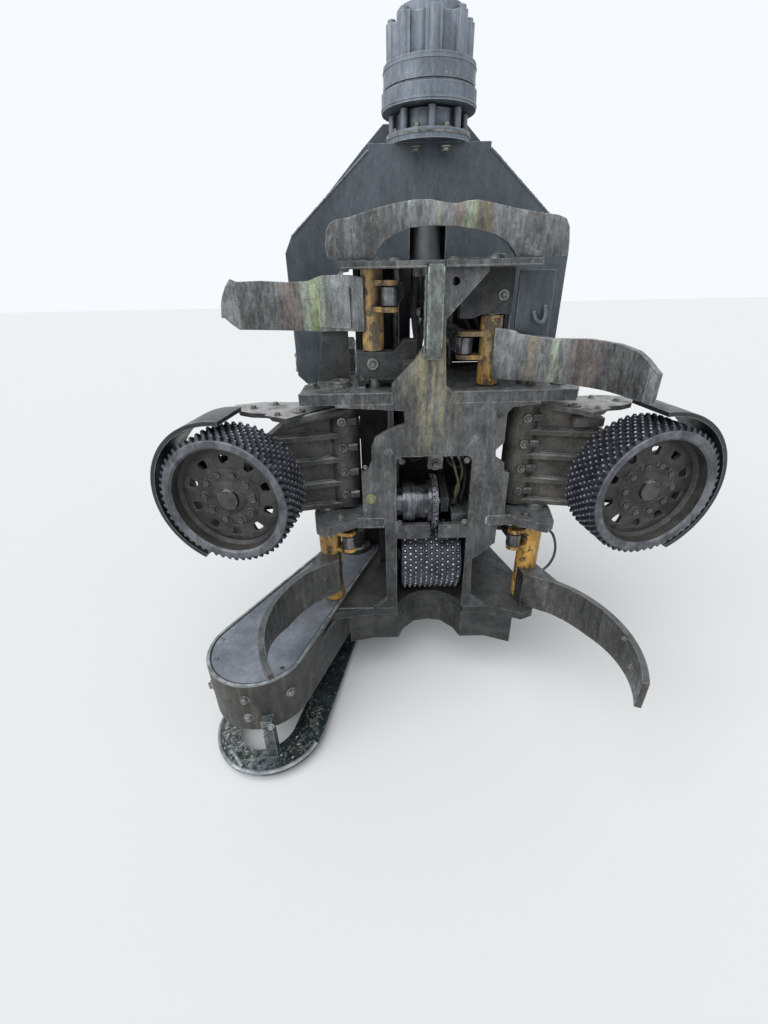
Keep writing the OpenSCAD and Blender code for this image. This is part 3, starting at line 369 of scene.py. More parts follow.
def make_saw_box_paint():
    f = Finish("saw_box_paint")
    cloud = f.patches(0.3, 0.7, 9, 7, 0.65)
    lid = f.mix(cloud, LID_PAINT, LID_PALE)
    smear = f.patches(0.5, 0.72, 11, 8, 0.72, (0.6, 1.6, 1), (5, 2, 2))
    lid = f.mix(f.times(smear, 0.5), lid, WALL_MUD)
    streak = rain_runs(f, 0.42, 0.7, 10, (1, 6, 0))
    wall = f.mix(streak, WALL_DARK, WALL_MUD)
    wall = f.mix(f.times(f.patches(0.58, 0.7, 26, 8, 0.7), 0.35), wall, PALE_STEEL)
    wall = f.shade(wall, 0.5, 0.7, 0.7)
    right = f.spread(f.axis(f.place, "X"), -0.52, -0.40)
    wall = f.mix(f.times(right, 0.7), wall, DARK_STEEL)
    wall = f.grain(wall, 0.5, 1.6)
    lid = f.grain(lid, 0.75, 1.25, (1, 1, 1))
    up = f.spread(f.axis(f.normal, "Z"), 0.4, 0.8)
    # Painted shade and oily grime darken the recesses.
    colour = f.shade_and_grime_in_recesses(f.mix(up, wall, lid), 0.06, 0.5)
    colour = f.mix(f.times(rubbed_edges(f, 3.5 * MM, 0.40, 0.56), 0.8), colour, BARE_EDGE)
    rough = f.spread(f.noise(24, 6, 0.6), 0.3, 0.7, 0.36, 0.6)
    return f.done(colour, rough, 0.15, pitted(f, 0.0008))


FRAME_FINISH = make_paint("frame_paint", FRAME_PAINT, FRAME_PAINT_PALE)
ROTATOR_FINISH = make_paint("rotator_paint", ROTATOR_PAINT, ROTATOR_PALE, 0.9, 0.5, 0.3)
BLACK_PAINT = make_paint("black_paint", (0.010, 0.011, 0.013), (0.026, 0.028, 0.031), 0.7, 0.15)
SAW_BOX_FINISH = make_saw_box_paint()


def make_guard_paint():
    f = Finish("saw_guard_paint")
    wet = f.mix(f.patches(0.35, 0.65, 12, 8, 0.7), (0.012, 0.018, 0.020), (0.045, 0.056, 0.062))
    dust = f.patches(0.53, 0.62, 60, 10, 0.82, shift=(3, 1, 4))
    colour = f.mix(f.times(dust, 0.6), wet, (0.16, 0.21, 0.19))
    # A painted sheen: pale patches on the left part of the guard.
    left = f.spread(f.axis(f.place, "X"), -0.50, -0.62)
    sheen_patches = f.patches(0.42, 0.6, 40, 9, 0.78, shift=(9, 1, 4))
    colour = f.mix(f.times(left, f.times(sheen_patches, 0.7)), colour, (0.34, 0.38, 0.39))
    colour = f.mix(rubbed_edges(f, 4 * MM, 0.35, 0.55), colour, BARE_EDGE)
    return f.done(colour, f.spread(dust, 0, 1, 0.22, 0.6), 0.1, pitted(f, 0.0008))


GUARD_FINISH = make_guard_paint()
print("painted finishes: 5")

# %% [markdown]
# ## Knife steel
#
# The knives are bare steel that wet bark stains. Each has its own marks: a bright
# yellow-green run of algae on the upper left one, rust and pale runs on the others.
# One function makes all of them, and each knife passes its own short list of stains,
# which stand at a distance along X on the front of the knife.

# %% Bare knife steel with stains
KNIFE_DARK = (0.042, 0.043, 0.044)
KNIFE_MID = (0.118, 0.121, 0.121)
KNIFE_PALE = (0.25, 0.275, 0.28)
ALGAE = (0.31, 0.36, 0.10)
PALE_GREEN = (0.30, 0.36, 0.25)
RED_STAIN = (0.16, 0.105, 0.080)
BROWN_STAIN = (0.17, 0.135, 0.075)
BARK_BROWN = (0.056, 0.052, 0.046)


def make_knife_steel(name, stains=(), dark=KNIFE_DARK, mid=KNIFE_MID, pale_share=0.5):
    f = Finish(name)
    colour = f.mix(f.patches(0.36, 0.62, 10, 10, 0.78, (1, 1, 0.5)), dark, mid)
    pale = rain_runs(f, 0.5, 0.68, 13, (1, 1, 3))
    colour = f.mix(f.times(pale, 0.6 * pale_share), colour, KNIFE_PALE)
    scraped = f.patches(0.53, 0.64, 24, 10, 0.8, (1.3, 1.3, 0.6), (4, 9, 5))
    colour = f.mix(f.times(scraped, pale_share), colour, KNIFE_PALE)
    bark = f.patches(0.53, 0.58, 30, 9, 0.8, (1.5, 1.5, 0.5), (6, 6, 6))
    colour = f.mix(f.times(bark, 0.7), colour, BARK_BROWN)
    for middle, half, tint, strength in stains:
        wavy = f.times(f.math("SUBTRACT", f.noise(16, 8, 0.75, (1, 1, 0.6)), 0.5), 0.045)
        across = f.math("ADD", f.axis(f.place, "X"), wavy)
        away = f.math("ABSOLUTE", f.math("SUBTRACT", across, middle))
        run = f.times(f.spread(away, half * 1.8, half * 0.4), strength)
        patchy = f.patches(0.32, 0.58, 26, 9, 0.78, (2.2, 2.2, 0.35), (middle, 2, 3))
        colour = f.mix(f.times(run, patchy), colour, tint)
    colour = f.grain(colour, 0.38, 1.7)
    # Pale dust and a painted sky sheen on the faces that look up.
    colour = f.mix(f.times(dust_and_sheen_on_top(f), 0.5), colour, (0.24, 0.25, 0.25))
    # Painted shade and oily grime darken the recesses.
    colour = f.shade_and_grime_in_recesses(colour, 0.07, 0.7)
    colour = f.mix(f.times(rubbed_edges(f, 3.5 * MM, 0.44, 0.58), 0.8), colour, (0.46, 0.50, 0.50))
    rough = f.spread(f.noise(40, 6, 0.6), 0.35, 0.65, 0.18, 0.5)
    return f.done(colour, rough, 0.25, pitted(f, 0.0012))


TOP_KNIFE = make_knife_steel("top_knife_steel", [
    (-0.010, 0.010, OLIVE, 0.8), (0.034, 0.014, RED_STAIN, 0.9), (0.062, 0.012, PALE_GREEN, 0.9),
    (0.090, 0.022, BROWN_STAIN, 0.7), (-0.04, 0.07, KNIFE_PALE, 0.6)], pale_share=0.7)
UPPER_LEFT_KNIFE = make_knife_steel("upper_left_knife_steel", [
    (-0.350, 0.026, PALE_GREEN, 0.65), (-0.352, 0.009, ALGAE, 0.50), (-0.262, 0.040, KNIFE_PALE, 0.55),
    (-0.425, 0.030, RED_STAIN, 0.45), (-0.383, 0.012, PALE_GREEN, 0.35)])
UPPER_RIGHT_KNIFE = make_knife_steel("upper_right_knife_steel", [
    (0.368, 0.024, RED_STAIN, 0.45), (0.308, 0.009, PALE_GREEN, 0.75), (0.262, 0.012, BROWN_STAIN, 0.6),
    (0.205, 0.030, KNIFE_PALE, 0.5)])
LOWER_KNIFE = make_knife_steel("lower_knife_steel", [], (0.020, 0.020, 0.020), (0.056, 0.056, 0.053), 0.25)
SPINE_STEEL = make_knife_steel("spine_steel", [(-0.020, 0.045, (0.17, 0.20, 0.175), 0.25)],
                               (0.05, 0.055, 0.052),
                               (0.15, 0.17, 0.155), 0.7)
# A pale steel that paints the highlight on the fronts of the upper knives' tips.
TIP_HIGHLIGHT_STEEL = make_knife_steel("knife_tip_highlight", [], (0.11, 0.115, 0.12), (0.26, 0.27, 0.28), 0.6)
print("knife finishes: 6")

# %% [markdown]
# ## Chipped orange paint
#
# The hub tubes of the knives are the only bright thing on the head. Their orange paint
# has chipped off in flakes, with rust around each flake. Two noises make this: a fine
# one with a hard threshold gives the flakes, and a slightly lower threshold of the same
# noise gives a rust rim that always follows them.

# %% Orange hub paint
ORANGE = (0.62, 0.31, 0.03)
DUSTY_ORANGE = (0.30, 0.225, 0.12)
ORANGE_PALE = (0.66, 0.42, 0.12)


def make_orange():
    f = Finish("chipped_orange_paint")
    colour = f.mix(f.patches(0.35, 0.7, 12, 6, 0.6), ORANGE, ORANGE_PALE)
    flakes = f.noise(34, 9, 0.72, (1, 1, 0.7))
    colour = f.mix(f.times(f.spread(flakes, 0.50, 0.56), 0.85), colour, (0.20, 0.085, 0.02))
    colour = f.mix(f.spread(flakes, 0.565, 0.585), colour, DARK_STEEL)
    grime = f.patches(0.48, 0.72, 9, 7, 0.7, (2, 2, 0.5), (1, 5, 2))
    colour = f.mix(f.times(grime, 0.9), colour, (0.060, 0.050, 0.036))
    higher = f.spread(f.axis(f.place, "Z"), -1.10, -0.92, 0.30, 1.0)
    stained = f.patches(0.36, 0.56, 20, 8, 0.75, (1.5, 1.5, 0.4), (2, 2, 6))
    colour = f.mix(f.times(higher, 0.3), colour, DUSTY_ORANGE)
    colour = f.mix(f.times(f.times(higher, stained), 0.85), colour, (0.105, 0.085, 0.060))
    # Painted shade and oily grime darken the recesses.
    colour = f.shade_and_grime_in_recesses(f.grain(colour, 0.6, 1.2), 0.06, 0.8)
    height = f.spread(flakes, 0.58, 0.55)
    return f.done(colour, f.spread(flakes, 0.5, 0.6, 0.42, 0.7), 0.0, f.bump(height, 0.0009))


ORANGE_FINISH = make_orange()
print("finish:", ORANGE_FINISH.name)

# %% [markdown]
# ## Castings, machined steel and rubber
#
# The arms, motors and blocks are dark castings with pale dust and a painted wet sheen on their tops.
# Pins, rods and the measuring wheel are bright. The studded drums are nearly black with
# a cold sheen, and only the tips of the studs are rubbed bright.

# %% Castings, bright steel, drums and rubber
def make_casting(name, deep, pale, dust=(0.50, 0.50, 0.49), dust_and_sheen_share=0.9):
    f = Finish(name)
    colour = f.mix(f.patches(0.35, 0.7, 9, 8, 0.7), deep, pale)
    mud = f.patches(0.52, 0.68, 18, 8, 0.7, shift=(2, 7, 7))
    colour = f.mix(f.times(mud, 0.5), colour, BARK_BROWN)
    # Painted shade and oily grime darken the recesses.
    colour = f.shade_and_grime_in_recesses(f.grain(colour, 0.5, 1.6, (1, 1, 1)))
    # Pale dust and a painted sky sheen on the faces that look up.
    colour = f.mix(f.times(dust_and_sheen_on_top(f, 0.7, 0.98), dust_and_sheen_share), colour,
                   f.grain(dust, 0.75, 1.15, (1, 1, 1)))
    colour = f.mix(f.times(rubbed_edges(f, 3 * MM, 0.42, 0.6), 0.6), colour, BARE_EDGE)
    rough = f.spread(f.noise(35, 6, 0.6), 0.3, 0.7, 0.42, 0.68)
    return f.done(colour, rough, 0.2, pitted(f, 0.0018))


def make_bright(name, deep, pale, rough_low, rough_high, metal=0.9):
    f = Finish(name)
    colour = f.mix(f.patches(0.35, 0.65, 30, 7, 0.7, (1, 1, 0.6)), deep, pale)
    grime = f.patches(0.5, 0.7, 12, 8, 0.7, shift=(5, 1, 5))
    colour = f.mix(f.times(grime, 0.5), colour, DARK_STEEL)
    rough = f.spread(f.noise(50, 6, 0.6), 0.3, 0.7, rough_low, rough_high)
    return f.done(colour, rough, metal, pitted(f, 0.0003))


CASTING = make_casting("dusty_casting", (0.030, 0.030, 0.029), (0.085, 0.083, 0.078))
INNER_CASTING = make_casting("oily_casting", (0.012, 0.012, 0.013), (0.040, 0.040, 0.042),
                             (0.10, 0.10, 0.10), 0.5)
DARK_CASE = make_casting("dark_case", (0.012, 0.012, 0.012), (0.050, 0.051, 0.050), (0.12, 0.12, 0.115), 0.5)
PALE_CASTING = make_casting("pale_casting", (0.045, 0.043, 0.038), (0.125, 0.120, 0.105))
PIN_STEEL = make_bright("pin_steel", (0.09, 0.09, 0.09), (0.28, 0.28, 0.27), 0.32, 0.55, 0.6)
CHROME_ROD = make_bright("chrome_rod", (0.04, 0.04, 0.042), (0.19, 0.19, 0.20), 0.16, 0.34, 0.7)
WHEEL_STEEL = make_bright("wheel_steel", (0.030, 0.032, 0.038), (0.16, 0.165, 0.18), 0.14, 0.34, 0.5)
DRUM_STEEL = make_bright("drum_steel", (0.014, 0.016, 0.024), (0.060, 0.066, 0.082), 0.3, 0.5, 0.4)
RIM_STEEL = make_bright("rim_steel", (0.050, 0.054, 0.060), (0.155, 0.165, 0.185), 0.34, 0.6, 0.3)
STUD_TIP = make_bright("stud_tip", (0.28, 0.29, 0.32), (0.75, 0.77, 0.80), 0.25, 0.45, 0.5)
print("castings and bright steels: 10")

# %% [markdown]
# ## Finishes on the solids
#
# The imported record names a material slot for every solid. A dictionary turns the slot
# into a finish, and a second one holds the few solids whose finish is their own. The
# solids are never moved or reshaped: only their material slots are filled.

# %% Fill the material slots of the solids
SLOT_FINISH = {
    "worn_steel": WORN_STEEL, "dark_paint": FRAME_FINISH, "bare_steel": LOWER_KNIFE,
    "orange_paint": ORANGE_FINISH, "cast_steel": CASTING, "roller_steel": DRUM_STEEL,
    "black_paint": BLACK_PAINT, "pin_steel": PIN_STEEL, "chrome_rod": CHROME_ROD,
    "wheel_steel": WHEEL_STEEL, "rotator_paint": ROTATOR_FINISH}
OWN_FINISH = {
    "top_knife": TOP_KNIFE, "upper_left_blade": UPPER_LEFT_KNIFE, "upper_right_blade": UPPER_RIGHT_KNIFE,
    "saw_box": SAW_BOX_FINISH, "saw_guard": GUARD_FINISH, "valve_block": INNER_CASTING,
    "wheel_arm": INNER_CASTING, "roller_mount": INNER_CASTING, "frame_box": DARK_CASE,
    "upper_box": DARK_CASE, "base_plate": DARK_CASE, "base_skirt": DARK_CASE, "feed_arm_right": PALE_CASTING}

for part in frame["record"]["subparts"]:
    mesh = frame["nodes"][part["node"]].data
    finish = OWN_FINISH.get(part["node"], SLOT_FINISH[part["material_slot"]])
    mesh.materials.clear()
    mesh.materials.append(finish)
    for face in mesh.polygons:
        face.material_index = 0

# %% [markdown]
# ## Tools for small parts
#
# Bolts, washers, caps and drums are all turned shapes, so one function spins a short
# profile round an axis. Every small part is built straight in the shared frame, with a
# matrix that says where its middle is and which way its axis points. Parts of one kind
# on one body are joined in one mesh, which keeps the list of pieces short.

# %% Frames, meshes and turned shapes
SMOOTH_ANGLE = math.radians(35)


def full_turn(count, first=0.0):
    return [2 * math.pi * (i + first) / count for i in range(count)]


def frame_at(place, axis, up=(0, 0, 1)):
    z = Vector(axis).normalized()
    side = Vector(up).cross(z)
    x = side.normalized() if side.length > 1e-4 else Vector((1, 0, 0))
    y = z.cross(x)
    made = Matrix((x, y, z)).transposed().to_4x4()
    made.translation = Vector(place)
    return made


def keep(bm, name, body, finishes):
    mesh = bpy.data.meshes.new(name)
    bm.to_mesh(mesh)
    bm.free()
    piece = bpy.data.objects.new(name, mesh)
    bpy.context.scene.collection.objects.link(piece)
    for finish in finishes:
        mesh.materials.append(finish)
    mesh.set_sharp_from_angle(angle=SMOOTH_ANGLE)
    for face in mesh.polygons:
        face.use_smooth = True
    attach(piece, body)
    return piece


def band(bm, low, high, finish=0):
    for i in range(len(low)):
        j = (i + 1) % len(low)
        bm.faces.new([low[i], low[j], high[j], high[i]]).material_index = finish


def loft(bm, rings, finish=0):
    for low, high in zip(rings, rings[1:]):
        band(bm, low, high, finish)
    bm.faces.new(rings[0][::-1]).material_index = finish
    bm.faces.new(rings[-1]).material_index = finish


def spin(bm, at, profile, steps=24, finish=0, closed=False):
    rings = []
    for r, z in profile:
        if r < 1e-6:
            rings.append([bm.verts.new(at @ Vector((0, 0, z)))])
            continue
        rings.append([bm.verts.new(at @ Vector((r * math.cos(a), r * math.sin(a), z)))
                      for a in full_turn(steps)])
    pairs = list(zip(rings, rings[1:]))
    if closed:
        pairs.append((rings[-1], rings[0]))
    for low, high in pairs:
        for i in range(steps):
            j = (i + 1) % steps
            corners = [low[i % len(low)], low[j % len(low)], high[j % len(high)], high[i % len(high)]]
            face = bm.faces.new(list(dict.fromkeys(corners)))
            face.material_index = finish


print("turning tool ready")

# %% Bolts, washers and screws
def hex_bolt(bm, place, axis, across, washer=1.45, finish=0):
    at = frame_at(place, axis)
    r = across / math.sqrt(3)
    high = 0.62 * across
    rim = 0.16 * across
    if washer:
        out = washer * r
        spin(bm, at, [(0, 0), (out, 0), (out, rim * 0.7), (out - rim * 0.4, rim), (0, rim)], 20, finish)
    body = [(r, rim), (r, high - rim * 0.5), (r * 0.9, high)]
    spin(bm, at, [(0, rim), *body, (r * 0.62, high), (r * 0.55, high - rim * 0.35), (0, high - rim * 0.35)],
         6, finish)


def socket_screw(bm, place, axis, r, high, finish=0):
    at = frame_at(place, axis)
    bevel = 0.12 * r
    deep = 0.45 * high
    profile = [(0, 0), (r, 0), (r, high - bevel), (r - bevel, high), (0.56 * r, high), (0.5 * r, high - deep),
               (0, high - deep)]
    spin(bm, at, profile, 20, finish)


def ring(bm, place, axis, outer, inner, high, finish=0):
    at = frame_at(place, axis)
    bevel = 0.2 * high
    profile = [(inner, 0), (outer, 0), (outer, high - bevel), (outer - bevel, high), (inner + bevel, high),
               (inner, high - bevel)]
    spin(bm, at, profile, 32, finish, closed=True)


print("bolt tools ready")

# %% [markdown]
# ## Flat plates with holes
#
# A plate with slots could be cut with booleans, but a flat curve is cleaner: Blender
# fills the outer outline, leaves the inner outlines open, gives it thickness and rounds
# its edges. The curve is then turned into a mesh, so that it can be joined.

# %% A plate from outlines
def outline_circle(r, steps=96, middle=(0, 0)):
    return [(middle[0] + r * math.cos(a), middle[1] + r * math.sin(a)) for a in full_turn(steps)]


def rounded_outline(corners, radius, steps=5):
    made = []
    count = len(corners)
    for i, corner in enumerate(corners):
        here = Vector(corner)
        back = (Vector(corners[i - 1]) - here).normalized()
        ahead = (Vector(corners[(i + 1) % count]) - here).normalized()
        half = back.angle(ahead) / 2
        reach = radius / math.tan(half)
        start, end = here + back * reach, here + ahead * reach
        for k in range(steps + 1):
            t = k / steps
            made.append(tuple((1 - t) ** 2 * start + 2 * t * (1 - t) * here + t ** 2 * end))
    return made


def flat_plate(name, outlines, thick, round_edge, at, body, finishes):
    curve = bpy.data.curves.new(name, "CURVE")
    curve.dimensions = "2D"
    curve.fill_mode = "BOTH"
    curve.extrude = thick / 2 - round_edge
    curve.bevel_depth = round_edge
    curve.bevel_resolution = 1
    curve.offset = -round_edge
    for points in outlines:
        line = curve.splines.new("POLY")
        line.points.add(len(points) - 1)
        for point, (x, y) in zip(line.points, points):
            point.co = (x, y, 0, 1)
        line.use_cyclic_u = True
    holder = bpy.data.objects.new(name + "_curve", curve)
    bpy.context.scene.collection.objects.link(holder)
    mesh = bpy.data.meshes.new_from_object(holder.evaluated_get(bpy.context.evaluated_depsgraph_get()))
    bpy.data.objects.remove(holder)
    bm = bmesh.new()
    bm.from_mesh(mesh)
    bpy.data.meshes.remove(mesh)
    bmesh.ops.remove_doubles(bm, verts=bm.verts, dist=1e-6)
    bmesh.ops.transform(bm, matrix=at, verts=bm.verts)
    for face in bm.faces:
        face.material_index = 0
    keep(bm, name, body, finishes)


print("plate tool ready")

# %% [markdown]
# ## Studded feed rollers
#
# Each feed roller is a steel drum with rows of pointed studs that bite the bark. The
# plain solid only has the roller's outline, so a finer drum stands in for it: the same
# outer radius, which is the studs' tips, but with the drum's skin a stud's height below.
# Next rows stand half a step apart. The joint of each roller gives its middle and axis.

# %% Roller sizes from the frame
STUD_HIGH = 13 * MM
STUD_FOOT = 15 * MM
STUD_TIP_SIZE = 5 * MM
STUD_ROWS = 9
STUDS_AROUND = 56
DISH_DEEP = 46 * MM
DISH_THICK = 14 * MM

joints = {j["name"]: j for j in frame["joints"]}


def joint_frame(name):
    joint = joints[name]
    return frame_at(joint["pos_m"], joint["axis"])


def box_radius(node):
    low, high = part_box(node)
    return (high.z - low.z) / 2


ROLLER_R = box_radius("feed_roller_right")
ROLLER_HALF = 75 * MM
print("feed roller radius:", round(ROLLER_R, 4))


# %% One stud
def stud(bm, at, foot, tip, high):
    base = [bm.verts.new(at @ Vector((x * foot / 2, y * foot / 2, 0))) for x, y in SQUARE]
    top = [bm.verts.new(at @ Vector((x * tip / 2, y * tip / 2, high))) for x, y in SQUARE]
    band(bm, base, top)
    bm.faces.new(top).material_index = 1
    bm.faces.new(base[::-1]).material_index = 0


def stud_rows(bm, at, skin, high, half, rows, around, foot, tip):
    step = 2 * half / rows
    for row in range(rows):
        z = -half + (row + 0.5) * step
        for a in full_turn(around, 0.5 * (row % 2)):
            out = Vector((math.cos(a), math.sin(a), 0))
            worn = high * rng.uniform(0.86, 1.0)
            place = out * (skin - 0.5 * MM) + Vector((0, 0, z))
            local = frame_at(place, out)
            stud(bm, at @ local, foot, tip * rng.uniform(0.8, 1.3), worn)


SQUARE = [(-1, -1), (1, -1), (1, 1), (-1, 1)]
print("stud tool ready")


# %% Drum, studs, dish and hub of a feed roller
SLOT_COUNT = 10
SLOT_AT = 119 * MM
HUB_BOLT_AT = 77 * MM
HUB_CAP_R = 49 * MM
SCREW_SHIFT = 0.16
DISH_BROWN = make_casting("dish_mud", (0.020, 0.019, 0.018), (0.058, 0.056, 0.052), (0.075, 0.072, 0.066),
                          0.5)


def roller_slots():
    wide, tall = 17 * MM, 13 * MM
    shape = [(SLOT_AT - tall, -wide * 0.55), (SLOT_AT + tall, -wide), (SLOT_AT + tall, wide),
             (SLOT_AT - tall, wide * 0.55)]
    made = []
    for a in full_turn(SLOT_COUNT, 0.5):
        c, s = math.cos(a), math.sin(a)
        corners = [(x * c - y * s, x * s + y * c) for x, y in shape]
        made.append(rounded_outline(corners, 7 * MM)[::-1])
    return made


def make_roller(side):
    at = joint_frame(f"feed_roller_{side}_spin")
    body = f"roller_{side}"
    skin = ROLLER_R - STUD_HIGH
    bore = ROLLER_R - 40 * MM
    edge = 3 * MM
    half = ROLLER_HALF
    bm = bmesh.new()
    face_z = half - DISH_DEEP
    back_z = face_z - DISH_THICK
    drum = [(skin, -half + edge), (skin, half - edge), (skin - edge, half), (bore + 6 * MM, half),
            (bore, half - 6 * MM), (bore - 3 * MM, face_z + 10 * MM), (bore - 12 * MM, face_z),
            (bore - 12 * MM, back_z), (bore + 8 * MM, back_z), (bore + 8 * MM, -half + edge),
            (bore + 12 * MM, -half), (skin - edge, -half)]
    spin(bm, at, drum, 96, 0, closed=True)
    for face in bm.faces:
        middle = at.inverted() @ face.calc_center_median()
        if middle.z > half - 4 * MM:
            face.material_index = 2
        elif math.hypot(middle.x, middle.y) < bore + 2 * MM:
            face.material_index = 3
    stud_rows(bm, at, skin, STUD_HIGH, half - 2 * MM, STUD_ROWS, STUDS_AROUND, STUD_FOOT, STUD_TIP_SIZE)
    drum_piece = keep(bm, f"roller_drum_{side}", body, [DRUM_STEEL, STUD_TIP, RIM_STEEL, DISH_BROWN])
    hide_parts(f"feed_roller_{side}")

    plate_at = at @ Matrix.Translation((0, 0, face_z - DISH_THICK / 2))
    outlines = [outline_circle(bore - 9 * MM), outline_circle(31 * MM, 48)[::-1], *roller_slots()]
    flat_plate(f"roller_dish_{side}", outlines, DISH_THICK, 2 * MM, plate_at, body, [DISH_BROWN])

    bm = bmesh.new()
    lift = 4 * MM
    hub = [(33 * MM, face_z - 1 * MM), (92 * MM, face_z - 1 * MM), (92 * MM, face_z + 1 * MM),
           (88 * MM, face_z + lift), (HUB_CAP_R + 4 * MM, face_z + lift), (HUB_CAP_R, face_z + 2 * lift),
           (33 * MM, face_z + 3 * lift)]
    spin(bm, at, hub, 64, 0, closed=True)
    out = at.col[2].xyz
    for a in full_turn(SLOT_COUNT):
        place = at @ Vector((HUB_BOLT_AT * math.cos(a), HUB_BOLT_AT * math.sin(a), face_z + lift))
        hex_bolt(bm, place, out, 17 * MM)
        r, a = HUB_BOLT_AT + 3 * MM, a + SCREW_SHIFT
        socket_screw(bm, at @ Vector((r * math.cos(a), r * math.sin(a), face_z + lift)), out, 5 * MM, 5 * MM)
    keep(bm, f"roller_hub_{side}", body, [DISH_BROWN])


for side in ("left", "right"):
    make_roller(side)
print("studs on a feed roller:", STUD_ROWS * STUDS_AROUND)

# %% [markdown]
# ## The small roller and the measuring wheel
#
# A studded roller in the middle of the frame carries the stem, and above it a light
# stepped drum rolls along to measure its length. The small roller's studs are rubbed
# bright at their tips. The wheel gets a ring of short spikes, which is what grips.

# %% Frame roller
FRAME_STUD_HIGH = 9 * MM
FRAME_STUD_ROWS = 11
FRAME_STUDS_AROUND = 40
FRAME_STUD_FOOT = 13 * MM
FRAME_STUD_TIP = 4.5 * MM
FRAME_ROLLER_R = box_radius("frame_roller")
FRAME_ROLLER_HALF = 106 * MM


def make_frame_roller():
    at = joint_frame("frame_roller_spin")
    bm = bmesh.new()
    skin = FRAME_ROLLER_R - FRAME_STUD_HIGH
    half = FRAME_ROLLER_HALF
    shaft = 129 * MM
    drum = [(0, -shaft), (30 * MM, -shaft), (30 * MM, -half), (skin - 4 * MM, -half), (skin, -half + 4 * MM),
            (skin, half - 4 * MM), (skin - 4 * MM, half), (30 * MM, half), (30 * MM, shaft), (0, shaft)]
    spin(bm, at, drum, 64)
    stud_rows(bm, at, skin, FRAME_STUD_HIGH, half - 4 * MM, FRAME_STUD_ROWS, FRAME_STUDS_AROUND,
              FRAME_STUD_FOOT, FRAME_STUD_TIP)
    piece = keep(bm, "frame_roller_drum", "frame_roller_body", [DRUM_STEEL, STUD_TIP])
    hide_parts("frame_roller")


make_frame_roller()
print("frame roller radius:", round(FRAME_ROLLER_R, 4))


# %% Spikes and grooves on the measuring wheel
WHEEL_SPIKES = 36


def make_wheel_trim():
    at = joint_frame("measuring_wheel_spin")
    wheel_r = box_radius("measuring_wheel")
    bm = bmesh.new()
    for a in full_turn(WHEEL_SPIKES, 0.5):
        out = Vector((math.cos(a), math.sin(a), 0))
        for z in (-2 * MM, 4 * MM):
            stud(bm, at @ frame_at(out * (wheel_r - 9 * MM) + Vector((0, 0, z)), out), 7 * MM, 2 * MM, 8 * MM)
    for z, r in ((-90, 66), (-72, 66), (-50, 58), (-30, 58)):
        spin(bm, at, [(r * MM, (z - 2) * MM), ((r + 2.5) * MM, (z - 1) * MM), ((r + 2.5) * MM, (z + 1) * MM),
                      (r * MM, (z + 2) * MM)], 48)
    for a in full_turn(6):
        place = at @ Vector((36 * MM * math.cos(a), 36 * MM * math.sin(a), -120 * MM))
        hex_bolt(bm, place, -at.col[2].xyz, 12 * MM, 0)
    keep(bm, "wheel_trim", "measuring_wheel_body", [WHEEL_STEEL, STUD_TIP])


make_wheel_trim()
print("measuring wheel trimmed")

# %% [markdown]
# ## Pipes, welds and small blocks
#
# Hoses, grease pipes and weld beads are all round bars that follow a path, so one
# function sweeps a ring along a smooth curve through a few points. A weld bead is the
# same bar with a nervous radius. Hoses here are the short ones that stay on one body,
# clamped at both ends, so they ride with it and are never stretched by a joint.

# %% A smooth path and a tube along it
def smooth_path(points, steps=8):
    given = [Vector(p) for p in points]
    if len(given) == 2:
        return given
    ends = [2 * given[0] - given[1], *given, 2 * given[-1] - given[-2]]
    made = []
    for a, b, c, d in zip(ends, ends[1:], ends[2:], ends[3:]):
        for k in range(steps):
            t = k / steps
            bend = (2 * a - 5 * b + 4 * c - d) * t ** 2 + (3 * b - a - 3 * c + d) * t ** 3
            made.append((2 * b + (c - a) * t + bend) / 2)
    return [*made, given[-1]]


def tube(bm, path, r, sides=10, finish=0, wobble=0.0):
    side = (path[1] - path[0]).orthogonal().normalized()
    rings = []
    for i, here in enumerate(path):
        along = (path[min(i + 1, len(path) - 1)] - path[max(i - 1, 0)]).normalized()
        side = (side - along * side.dot(along)).normalized()
        other = along.cross(side)
        size = r * (1 + wobble * rng.uniform(-1, 1))
        rings.append([bm.verts.new(here + size * (math.cos(a) * side + math.sin(a) * other))
                      for a in full_turn(sides)])
    loft(bm, rings, finish)


def weld(bm, start, end, r=4 * MM, finish=0):
    start, end = Vector(start), Vector(end)
    count = max(2, int((end - start).length / (1.1 * r)))
    path = [start.lerp(end, i / count) for i in range(count + 1)]
    tube(bm, path, r, 7, finish, 0.22)


print("tube and weld tools ready")


# %% Hoses with fittings, and chamfered blocks
HOSE_RUBBER = make_casting("hose_rubber", (0.010, 0.010, 0.011), (0.028, 0.028, 0.028), (0.09, 0.09, 0.085),
                           0.6)
OLD_HOSE = make_casting("old_hose", (0.055, 0.050, 0.028), (0.13, 0.11, 0.055), (0.20, 0.20, 0.16), 0.6)
FITTING = make_bright("fitting_steel", (0.06, 0.06, 0.057), (0.24, 0.235, 0.21), 0.28, 0.5, 0.55)
hose_lengths = []


def hose(bm, points, r, rubber=0, metal=1):
    path = smooth_path(points)
    hose_lengths.append(round(sum((b - a).length for a, b in zip(path, path[1:])), 2))
    tube(bm, path, r, 12, rubber)
    for tip, neighbour in ((path[0], path[1]), (path[-1], path[-2])):
        inward = (neighbour - tip).normalized()
        tube(bm, [tip, tip + inward * 2.4 * r], r * 1.3, 14, metal)
        tube(bm, [tip, tip + inward * 0.9 * r], r * 1.65, 6, metal)


